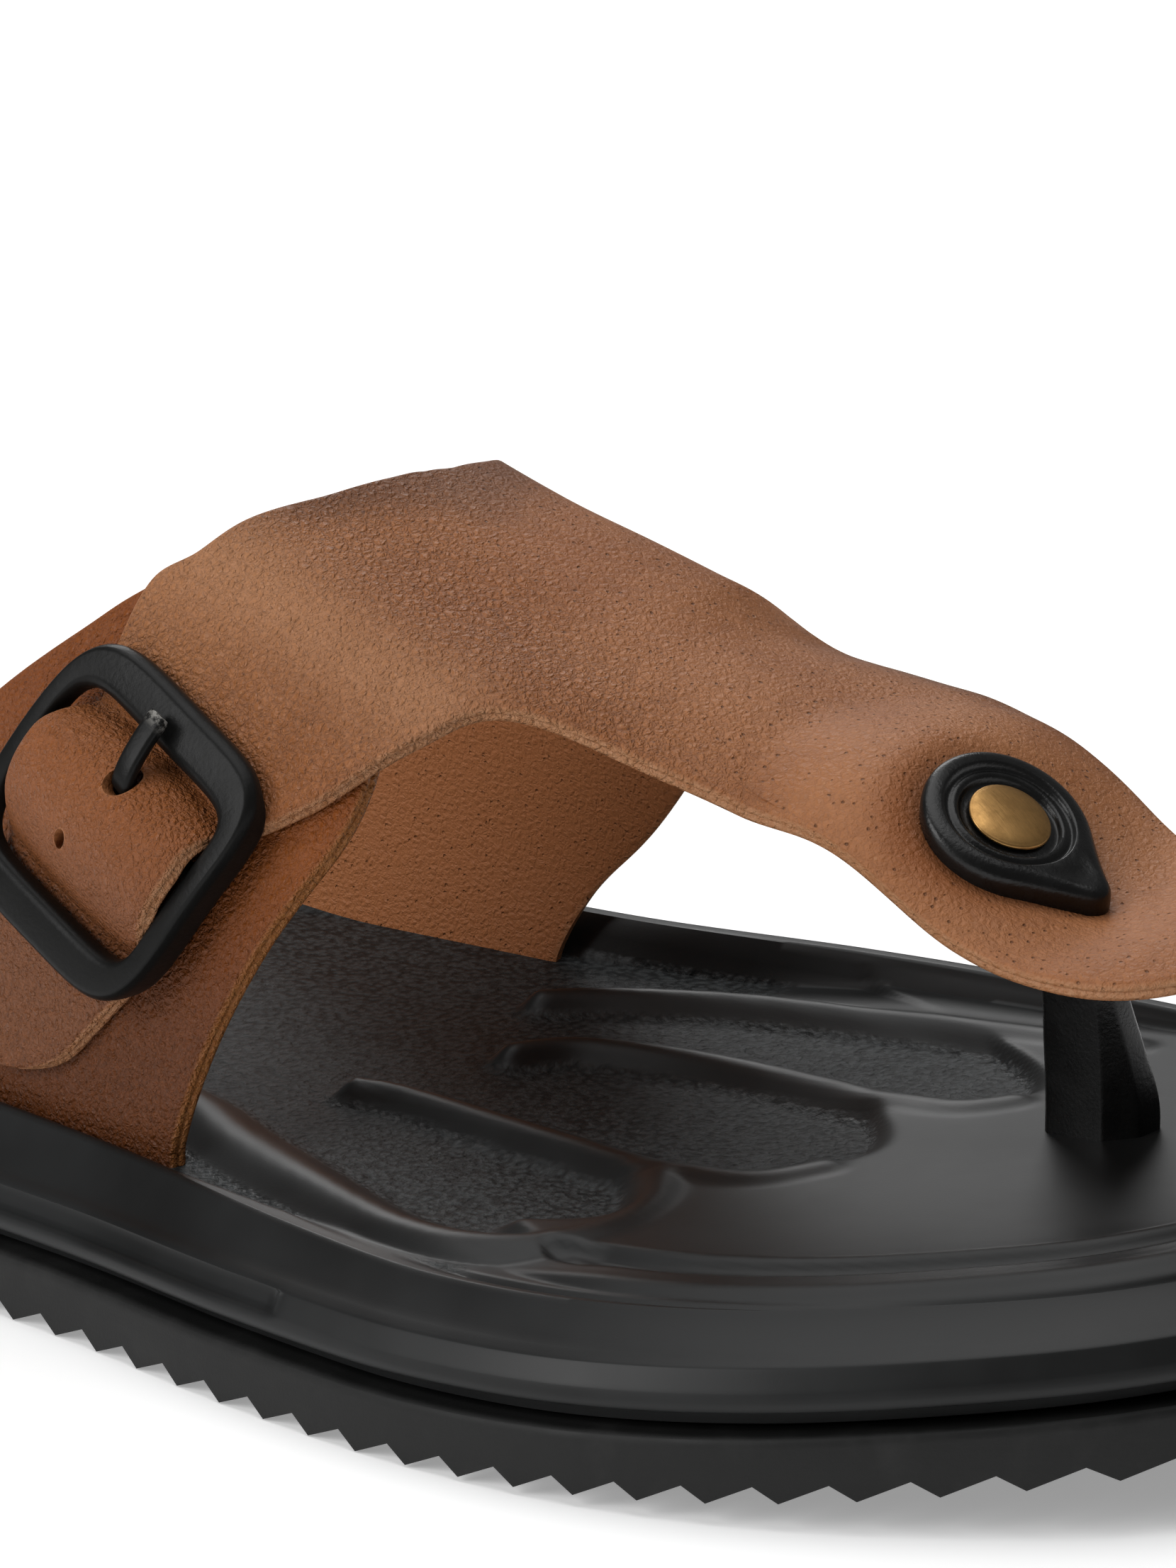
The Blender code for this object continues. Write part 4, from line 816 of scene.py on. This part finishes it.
# the T upper, from its medial foot over the instep to the buckle, with its tongue to the toe post
upperSizes = {
    "rows": [  # rear x, rear angle, front x, front angle
        (103.0, 0.0, 153.6, 0.0), (119.0, 22.0, 162.0, 19.8), (135.0, 43.0, 174.5, 42.2),
        (149.0, 60.0, 188.2, 57.8), (158.6, 71.0, 202.5, 69.0), (163.8, 79.5, 217.0, 73.5),
        (165.9, 85.5, 236.0, 77.0), (165.9, 90.5, 251.5, 86.0), (165.7, 92.2, 260.5, 103.0),
        (165.2, 94.0, 258.2, 117.5), (164.9, 95.5, 250.0, 127.2), (164.4, 97.0, 236.0, 127.5),
        (163.4, 101.2, 217.0, 121.5), (160.9, 109.2, 200.0, 122.0), (156.9, 119.3, 189.2, 125.6),
        (154.4, 126.5, 183.6, 134.2), (151.1, 132.0, 178.0, 143.7),
    ],
    "strapEnd": [  # along, rear half, front half
        (-14.0, 14.6, 13.4), (-10.4, 12.6, 11.9), (-8.3, 11.5, 10.3), (-5.5, 11.9, 10.4), (-2.5, 12.2, 11.0),
        (2.0, 12.1, 10.9), (5.5, 11.8, 10.8), (9.4, 11.6, 10.8), (13.2, 11.6, 9.4), (17.8, 11.2, 7.4),
        (21.2, 9.8, 5.3), (24.0, 7.6, 1.6), (25.6, 5.2, -2.2),
    ],
    "aboveBuckle": -20.0,
    "lap": 2.1, "lapAngles": (108.0, 126.0), "lapFade": (186.0, 206.0),
    "humpRise": 6.6, "humpAlong": -2.5, "humpAbove": 7.2, "humpBelow": 11.6,
    "humpHalf": 11.2, "humpEdgeReach": (1.6, 0.5), "humpEdgeDrop": 0.15, "humpPowers": (2.6, 1.2),
    "capDent": 0.35, "capSwell": 0.25, "waves": 0.15,
    "rowCount": 430, "outerColumns": 66, "innerColumns": 34, "tuck": 4.2,
    "holes": [(-5.9, 0.3, 1.5, 1.1), (2.6, -1.5, 0.75, 1.35)],  # along, across, radius, stretch along
    "holeLevels": (1.0, 13.0),
}
upperEdges = np.array(upperSizes["rows"] + [
    (*bucklePlace(-rear, along), *bucklePlace(front, along)) for along, rear, front in upperSizes["strapEnd"]
])

capSizes = {
    "x": form["rivetX"], "angle": form["rivetAngle"],
    "radius": 8.7, "point": 13.9, "tipRound": 2.5, "turn": 4.0,
}


def mmPerStep(stepX, stepAngle):  # on the tongue, under the rivet
    x, angle = capSizes["x"], capSizes["angle"]
    return np.linalg.norm(onArch(x + stepX, angle + stepAngle) - onArch(x - stepX, angle - stepAngle)) / 2


capScale = (mmPerStep(1.0, 0.0), mmPerStep(0.0, 1.0))


def teardrop(turn):  # radius of the cap's outline: a circle, two straight sides and a round tip
    away = np.abs(np.radians((turn - capSizes["turn"] + 180.0) % 360.0 - 180.0))
    radius, point, tip = capSizes["radius"], capSizes["point"], capSizes["tipRound"]
    reach = math.acos(radius / point)
    straight = radius / np.cos(np.clip(reach - away, 0.0, None))
    middle = point * (1.0 - tip / radius)  # distance of the tip's own centre
    inTip = tip**2 - (middle * np.sin(away)) ** 2
    rounded = middle * np.cos(away) + np.sqrt(np.maximum(inTip, 0.0))
    tipEdge = math.atan2(tip * math.sin(reach), middle + tip * math.cos(reach))
    pointed = np.where(away < tipEdge, rounded, straight)
    return np.where(away < reach, pointed, radius)


def capPlace(radius, turn):
    forward = radius * np.cos(np.radians(turn)) / capScale[0]
    sideways = radius * np.sin(np.radians(turn)) / capScale[1]
    return capSizes["x"] + forward, capSizes["angle"] - sideways


def awayFromCap(x, angle):  # distance beyond the cap's outline, and the turn about the rivet
    forward, sideways = (x - capSizes["x"]) * capScale[0], (capSizes["angle"] - angle) * capScale[1]
    turn = np.degrees(np.arctan2(sideways, forward))
    return np.hypot(forward, sideways) - teardrop(turn), turn


def upperPlace(row, share):  # x, angle, and the place along and across the strap end
    rearX, rearAngle, frontX, frontAngle = columnsAt(upperEdges, row)
    endKnots = np.arange(len(upperSizes["rows"]) - 1, len(upperEdges))
    places = np.array([(upperSizes["aboveBuckle"], *upperSizes["strapEnd"][0][1:])] + upperSizes["strapEnd"])
    along, rearHalf, frontHalf = (np.interp(row, endKnots, places[:, k]) for k in range(3))
    across = -rearHalf + (rearHalf + frontHalf) * share
    x, angle = rearX + (frontX - rearX) * share, rearAngle + (frontAngle - rearAngle) * share
    return x, angle, (along + 0.0 * share, across)


def upperLift(x, angle, endPlace):
    along, across = endPlace
    lap = upperSizes["lap"] * ease(*upperSizes["lapAngles"], angle) * (1.0 - ease(*upperSizes["lapFade"], x))
    edge = np.abs(across) / upperSizes["humpHalf"]
    above, below = upperSizes["humpEdgeReach"]
    above, below = upperSizes["humpAbove"] - above * edge**2, upperSizes["humpBelow"] - below * edge**2
    fromPin = along - upperSizes["humpAlong"]
    away = np.minimum(np.abs(fromPin) / np.where(fromPin < 0.0, above, below), 1.0)
    first, second = upperSizes["humpPowers"]
    hump = upperSizes["humpRise"] * (1.0 - upperSizes["humpEdgeDrop"] * edge**3)
    hump = hump * (1.0 - away**first) ** second
    beyond, _ = awayFromCap(x, angle)
    dent = upperSizes["capDent"] * (1.0 - ease(-1.0, 3.0, beyond))
    dent = dent - upperSizes["capSwell"] * bell(beyond, 4.0, 2.2)
    free = ease(25.0, 50.0, angle) * (1.0 - ease(120.0, 135.0, angle))
    waves = upperSizes["waves"] * np.sin(x / 15.0 + angle / 19.0) * np.sin(angle / 13.0 - x / 31.0)
    return lap + hump - dent + waves * free


# how strong each tone is: painted shade and darkening, orange by the cap and on the strap's end, painted
# sheen at the bend
upperTones = {
    "rearRidge": 0.8, "dip": 0.6, "farLine": 0.5, "capShadow": 0.55, "strapTip": 0.72, "darkest": 0.9,
    "capOrange": 0.8, "strapOrange": 0.75, "bend": 0.62,
}


def upperMasks(x, angle, shares):
    pebble = ease(92.0, 122.0, angle + 0.35 * (190.0 - x)) * (1.0 - ease(196.0, 226.0, x))
    rearRidge = (1.0 - ease(0.02, 0.15, shares)) * ease(60.0, 85.0, angle) * (1.0 - ease(108.0, 128.0, angle))
    dip = bell(x, 207.0, 12.0) * (1.0 - ease(66.0, 92.0, angle))
    farLine = ease(196.0, 215.0, x) * (1.0 - ease(72.0, 82.0, angle))
    beyond, turn = awayFromCap(x, angle)
    # painted shade in the dip, along the far edge and round the cap; darker along the rear edge and towards
    # the strap's end
    burnish = {
        "rearRidge": rearRidge, "dip": dip, "farLine": farLine,
        "capShadow": bell(beyond, 0.3, 0.9), "strapTip": ease(150.0, 170.0, angle),
    }
    burnish = sum(upperTones[name] * share for name, share in burnish.items())
    lowerLeft = (turn + 120.0 + 180.0) % 360.0 - 180.0
    orange = upperTones["capOrange"] * bell(beyond, 1.5, 3.0) * bell(lowerLeft, 0.0, 75.0)
    orange = orange + upperTones["strapOrange"] * ease(138.0, 152.0, angle)
    # painted sheen: a lighter band along the bend
    bend = bell(angle, 126.0 + 0.09 * (x - 154.0), 7.5) * (1.0 - ease(182.0, 196.0, x))
    return {
        "pebble": pebble, "burnish": np.clip(burnish, 0.0, upperTones["darkest"]),
        "orange": np.clip(orange, 0.0, upperTones["capOrange"]), "pale": upperTones["bend"] * bend,
    }


def withHoles(mesh):
    whole = bpy.data.meshes.new("wholeStrap")
    mesh.to_mesh(whole)
    mesh.free()
    strap = bpy.data.objects.new("wholeStrap", whole)
    scene.collection.objects.link(strap)
    punches = []
    turn = np.linspace(0.0, 2.0 * math.pi, 41)[None, :-1]
    level = np.linspace(*upperSizes["holeLevels"], 5)[:, None]
    for along, across, radius, stretch in upperSizes["holes"]:
        across = across + radius * np.cos(turn) + 0.0 * level
        along = along + radius * stretch * np.sin(turn)
        data = bpy.data.meshes.new("punch")
        cutter = closedLoft(onBuckle(across, along, level))
        cutter.to_mesh(data)
        cutter.free()
        punch = bpy.data.objects.new("punch", data)
        scene.collection.objects.link(punch)
        punches.append(punch)
        cut = strap.modifiers.new("hole", "BOOLEAN")
        cut.operation, cut.solver, cut.object = "DIFFERENCE", "EXACT", punch
    graph = bpy.context.evaluated_depsgraph_get()
    made = bmesh.new()
    made.from_object(strap, graph)
    for used in [strap] + punches:
        data = used.data
        bpy.data.objects.remove(used)
        bpy.data.meshes.remove(data)
    return made


def makeUpper():
    mesh = leatherSkin(upperPlace, upperLift, upperMasks, len(upperEdges) - 1.0, upperSizes)
    addPiece("leather_upper", withHoles(mesh), upperLeather, "upper")


makeUpper()

# the side strap, from its foot in the sole up under the upper's end
strapSizes = {
    "rows": [  # angle, rear x, front x
        (180.0, 108.0, 165.7), (171.8, 114.5, 169.3), (161.5, 123.8, 173.9), (149.1, 136.0, 179.2),
        (141.0, 143.5, 180.2), (134.8, 148.2, 178.8), (129.7, 152.2, 174.2), (127.0, 155.8, 167.0),
    ],
    "rowCount": 110, "outerColumns": 56, "innerColumns": 24, "tuck": 4.2,
    "pebble": 0.75, "burnish": 0.9, "orange": 0.6,
}


def strapPlace(row, share):
    angle, rear, front = columnsAt(strapSizes["rows"], row)
    return rear + (front - rear) * share, angle + 0.0 * share, 0.0 * share


def strapMasks(x, angle, shares):
    even = np.ones(np.shape(x))
    # painted shade: darker towards the strap's foot by the sole
    tones = {"pebble": even, "burnish": even * ease(150.0, 176.0, angle), "orange": even}
    return {"pale": 0.0 * even, **{name: strapSizes[name] * tone for name, tone in tones.items()}}


def makeSideStrap():
    flat = lambda x, angle, endPlace: 0.0 * x
    mesh = leatherSkin(strapPlace, flat, strapMasks, len(strapSizes["rows"]) - 1.0, strapSizes)
    addPiece("leather_side_strap", mesh, strapLeather, "side_strap")


makeSideStrap()

# buckle: bevelled frame with its pin, and the prong over the upper bar
buckleSizes = {
    "outer": (-0.7, 14.7, 16.2, 13.9, 4.35, 0.85),  # centre, half across, above, below, squareness, its skew
    "inner": (-1.0, 12.0, 10.3, 9.4, 6.5, 0.0),
    "barThick": 3.0, "barLevel": 5.7, "barWidth": 4.2, "steps": 200,
    "section": [  # share of the bar's width and of half its thickness
        (1.0, -0.5), (1.0, 0.3), (0.84, 1.0), (0.14, 0.92),
        (0.0, 0.5), (0.0, -0.6), (0.25, -1.0), (0.8, -1.0),
    ],
    "sectionRound": 0.4, "frontDepth": 1.5,
    "pinAlong": -2.5, "pinRadius": 1.2, "pinLevel": 5.2, "pinEnds": (-14.2, 12.6),
    "eyeRadius": 2.2, "eyeWidth": 2.4,
    "prongAcross": 1.3, "prongSlant": 0.29, "prongWidth": 2.4, "prongThick": 1.4,
    "prong": [  # along, level
        (-4.65, 5.0), (-4.9, 7.0), (-5.3, 8.4), (-6.1, 9.05), (-8.0, 9.25), (-10.5, 9.05), (-13.3, 8.6),
    ],
}


def buckleRing(ring, turn):
    centre, halfAcross, halfAbove, halfBelow, square, skew = ring
    side, end = np.cos(turn), np.sin(turn)
    power = 2.0 / (square - skew * side)
    across = centre + halfAcross * np.sign(side) * np.abs(side) ** power
    along = np.where(end > 0.0, halfBelow, halfAbove) * np.sign(end) * np.abs(end) ** power
    return np.stack([across, along], axis=-1)


def evenTurns(ring, count):  # angles whose ring points are evenly spaced
    fine = np.linspace(0.0, 2.0 * math.pi, 4001)
    travelled = distanceAlong(buckleRing(ring, fine))
    return np.interp(np.linspace(0.0, travelled[-1], count + 1), travelled, fine)


def joinInto(mesh, other):
    data = bpy.data.meshes.new("joined")
    other.to_mesh(data)
    other.free()
    mesh.from_mesh(data)
    bpy.data.meshes.remove(data)


def makeBuckleFrame():
    turns = evenTurns(buckleSizes["outer"], buckleSizes["steps"])[:, None]
    section = np.array(buckleSizes["section"])
    section = section * np.array([buckleSizes["barWidth"], 0.5 * buckleSizes["barThick"]])
    section = roundedProfile(section, buckleSizes["sectionRound"], closed=True, steps=4)
    section = section / np.array([buckleSizes["barWidth"], 1.0])  # share of the width, mm of height
    inner, outer = buckleRing(buckleSizes["inner"], turns), buckleRing(buckleSizes["outer"], turns)
    flat = inner + (outer - inner) * section[None, :, :1]
    deeper = buckleSizes["frontDepth"] * ease(0.55, 0.9, np.cos(turns)) * (section[None, :, 1] < 0.0)
    spots = onBuckle(flat[..., 0], flat[..., 1], buckleSizes["barLevel"] + section[None, :, 1] - deeper)
    spots[-1] = spots[0]
    mesh = closedLoft(spots, {"wearAndSheen": np.zeros(spots.shape[:2])})
    turn = np.linspace(0.0, 2.0 * math.pi, 25)[None, :-1]
    across = np.linspace(*buckleSizes["pinEnds"], 25)[:, None]
    along = buckleSizes["pinAlong"] + buckleSizes["pinRadius"] * np.cos(turn) + 0.0 * across
    level = buckleSizes["pinLevel"] + buckleSizes["pinRadius"] * np.sin(turn) + 0.0 * across
    joinInto(mesh, closedLoft(onBuckle(across + 0.0 * along, along, level)))
    addPiece("buckle_frame_black", mesh, blackMetal, "buckle_frame")


def makeBuckleProng():
    at = np.linspace(0.0, len(buckleSizes["prong"]) - 1.0, 60)
    along, level = columnsAt(buckleSizes["prong"], at)
    step = np.stack([np.gradient(along), np.gradient(level)], axis=-1)
    step /= np.linalg.norm(step, axis=1, keepdims=True)
    halfWide, halfThick = 0.5 * buckleSizes["prongWidth"], 0.5 * buckleSizes["prongThick"]
    corners = [(halfWide, -halfThick), (halfWide, halfThick), (-halfWide, halfThick), (-halfWide, -halfThick)]
    section = roundedProfile(corners, 0.55, closed=True, steps=4)
    shrink = np.sqrt(np.clip(1.0 - ease(0.93, 1.06, at / at[-1]) ** 2, 0.05, 1.0))[:, None]
    middle = buckleSizes["prongAcross"] + buckleSizes["prongSlant"] * (along - buckleSizes["pinAlong"])
    across = middle[:, None] + section[None, :, 0] * shrink
    high = section[None, :, 1] * shrink
    spots = onBuckle(across, along[:, None] - step[:, 1:] * high, level[:, None] + step[:, :1] * high)
    wearAndSheen = ease(0.90, 1.0, at / at[-1])[:, None] + 0.0 * across
    mesh = closedLoft(spots, {"wearAndSheen": wearAndSheen})
    turn = np.linspace(0.0, 2.0 * math.pi, 33)[None, :-1]
    low, high = buckleSizes["pinRadius"] + shoe["gap"], buckleSizes["eyeRadius"]
    half = 0.5 * buckleSizes["eyeWidth"]
    eye = roundedProfile([(high, -half), (high, half), (low, half), (low, -half)], 0.2, closed=True)
    eye = np.vstack([eye, eye[:1]])
    eyeAlong = buckleSizes["pinAlong"] + eye[:, :1] * np.cos(turn)
    eyeLevel = buckleSizes["pinLevel"] + eye[:, :1] * np.sin(turn)
    eyeAcross = buckleSizes["prongAcross"] + eye[:, 1:] + 0.0 * eyeAlong
    joinInto(mesh, closedLoft(onBuckle(eyeAcross, eyeAlong, eyeLevel)))
    addPiece("buckle_prong_black", mesh, blackMetal, "buckle_prong")


makeBuckleFrame()
makeBuckleProng()

# toe post with its big front bevel
postSizes = {
    "rows": [  # z, rear x, front x, near y, thickness, front corner
        (18.4, 231.2, 241.4, 14.2, 6.8, 2.6), (24.2, 231.2, 241.4, 14.2, 6.8, 2.6),
        (30.0, 231.2, 240.7, 13.8, 5.6, 1.9), (37.0, 231.2, 239.6, 13.2, 4.4, 1.1),
    ],
    "top": (230.0, 238.0, 12.0, 4.4, 1.1), "topDrop": 0.45, "rearCorner": 0.9, "round": 0.3,
}


def postRing(rear, front, near, thick, corner):
    cut, far = postSizes["rearCorner"], near + thick
    corners = [
        (rear + cut, near), (front - corner, near), (front, near + corner), (front, far - cut),
        (front - cut, far), (rear + cut, far), (rear, far - cut), (rear, near + cut),
    ]
    return roundedProfile(corners, postSizes["round"], closed=True)


def archHeight(x, y):
    angles = np.linspace(175.0, 5.0, 341)
    spots = onArch(np.full(len(angles), float(x)), angles)
    return float(np.interp(y, spots[:, 1], spots[:, 2]))


def makeToePost():
    top = postRing(*postSizes["top"])
    rings = [np.column_stack([postRing(*row[1:]), np.full(len(top), row[0])]) for row in postSizes["rows"]]
    rings.append(np.column_stack([top, [archHeight(x, y) - postSizes["topDrop"] for x, y in top]]))
    rings = np.array(rings)
    at = np.linspace(0.0, len(rings) - 1.0, 45)
    spots = np.stack([np.stack(columnsAt(rings[:, k], at), axis=-1) for k in range(len(top))], axis=1)
    addPiece("moulded_toe_post", closedLoft(spots), blackPlastic, "toe_post", 60.0)


makeToePost()

# cap on the tongue: a teardrop with two ring grooves round the rivet
capProfile = {
    "rim": [  # mm in from the outline, height above the leather
        (0.0, -0.6), (0.0, 0.55), (0.04, 0.95), (0.18, 1.35),
        (0.45, 1.68), (0.85, 1.9), (1.3, 2.02), (1.7, 2.05),
    ],
    "web": (0.25, 0.5, 0.75), "webDip": 0.25,
    "rings": [  # radius, height
        (6.75, 2.03), (6.6, 1.95), (6.48, 1.72), (6.36, 1.5), (6.15, 1.42), (5.95, 1.5),
        (5.75, 1.68), (5.5, 1.72), (5.25, 1.66), (5.1, 1.4), (4.98, 1.1), (4.8, 1.0),
        (4.45, 1.05), (3.6, 1.1), (2.0, 1.1), (2.0, -0.6),
    ],
}


def capPoint(radius, turn, level):
    return onArch(*capPlace(radius, turn), level)


def makePostCap():
    turn = capSizes["turn"] + np.linspace(0.0, 360.0, 145)[None, :-1]
    reach = teardrop(turn)
    radii = [reach - inside for inside, _ in capProfile["rim"]]
    heights = [high + 0.0 * reach for _, high in capProfile["rim"]]
    first, last = radii[-1], capProfile["rings"][0][0]
    for t in capProfile["web"]:  # the smooth web between the rim and the first ring
        dip = capProfile["webDip"] * np.sin(math.pi * t) * ease(1.0, 5.0, first - last)
        radii.append(first + (last - first) * t)
        heights.append(capProfile["rim"][-1][1] - dip)
    for radius, high in capProfile["rings"]:
        radii.append(radius + 0.0 * reach)
        heights.append(high + 0.0 * reach)
    radii, heights = np.concatenate(radii + radii[:1]), np.concatenate(heights + heights[:1])
    spots = capPoint(radii, np.repeat(turn, len(radii), axis=0), shoe["leather"] + shoe["gap"] + heights)
    addPiece("moulded_post_cap", closedLoft(spots), blackPlastic, "post_cap", 60.0)


makePostCap()

# rivet: a shallow brass dome with a bright lip
rivetSizes = {
    "radius": 4.1, "shank": 1.6, "seat": 3.45, "foot": 0.3,
    "lip": [(-0.15, 0.0), (0.0, 0.12), (0.0, 0.28), (-0.1, 0.42)],  # mm past the radius, above the seat
    "dome": 0.55, "domeShare": 0.975, "domeFoot": 0.3,
}


def makeRivet():
    radius, shank, seat, foot = (rivetSizes[name] for name in ("radius", "shank", "seat", "foot"))
    rows = [(0.0, foot), (shank, foot), (shank, seat)]
    rows += [(radius + out, seat + up) for out, up in rivetSizes["lip"]]
    for step in np.radians(np.linspace(15.0, 90.0, 14)):
        high = seat + rivetSizes["domeFoot"] + rivetSizes["dome"] * math.sin(step)
        rows.append((rivetSizes["domeShare"] * radius * math.cos(step), high))
    rows = np.array(rows)
    rows[-1, 0] = 0.0
    turn = np.linspace(0.0, 360.0, 65)[None, :-1]
    spots = capPoint(rows[:, :1] + 0.0 * turn, turn + 0.0 * rows[:, :1], rows[:, 1:] + 0.0 * turn)
    addPiece("brass_rivet", closedLoft(spots), oldBrass, "rivet", 60.0)


makeRivet()

# white floor and soft studio light
studio = {
    "sky": 0.12,
    "floorGlow": 0.3,
    "lights": [  # name, place, aim, size, watts
        ("overhead", (0.0, 0.05, 1.15), (0.0, 0.0, 0.02), 1.1, 8.0),
        ("key", (-0.35, -1.25, 0.75), (0.0, 0.0, 0.05), 0.9, 12.0),
        ("backGlow", (-0.75, 0.85, 0.85), (0.0, 0.0, 0.05), 0.6, 4.0),
    ],
}


def makeStudio():
    world = bpy.data.worlds.new("studioSky")
    scene.world = world
    world.use_nodes = True
    tree = world.node_tree
    tree.nodes.clear()
    seen = addNode(tree, "ShaderNodeLightPath").outputs["Is Camera Ray"]
    inputs = {"Value": seen, "To Min": studio["sky"], "To Max": 1.0}
    strength = addNode(tree, "ShaderNodeMapRange", inputs).outputs["Result"]
    glow = addNode(tree, "ShaderNodeBackground", {"Color": rgb(1.0, 1.0, 1.0), "Strength": strength})
    addNode(tree, "ShaderNodeOutputWorld", {"Surface": glow.outputs["Background"]})
    for name, place, aim, size, watts in studio["lights"]:
        lamp = bpy.data.lights.new(name, "AREA")
        lamp.shape, lamp.size, lamp.energy = "SQUARE", size, watts
        made = bpy.data.objects.new(name, lamp)
        made.location = place
        made.rotation_euler = (Vector(place) - Vector(aim)).to_track_quat("Z", "Y").to_euler()
        scene.collection.objects.link(made)
    mesh = bmesh.new()
    bmesh.ops.create_grid(mesh, x_segments=1, y_segments=1, size=4.0)
    data = bpy.data.meshes.new("paleFloor")
    mesh.to_mesh(data)
    mesh.free()
    floor = bpy.data.objects.new("paleFloor", data)
    scene.collection.objects.link(floor)
    paper, tree, shader, _ = newFinish("paperWhite")
    feed(tree, shader, {
        "Base Color": rgb(0.93, 0.93, 0.93), "Roughness": 0.9, "Specular IOR Level": 0.0,
        "Emission Color": rgb(1.0, 1.0, 1.0), "Emission Strength": studio["floorGlow"],
    })
    data.materials.append(paper)
    scene.view_settings.view_transform = "Standard"


makeStudio()
print("studio lit")
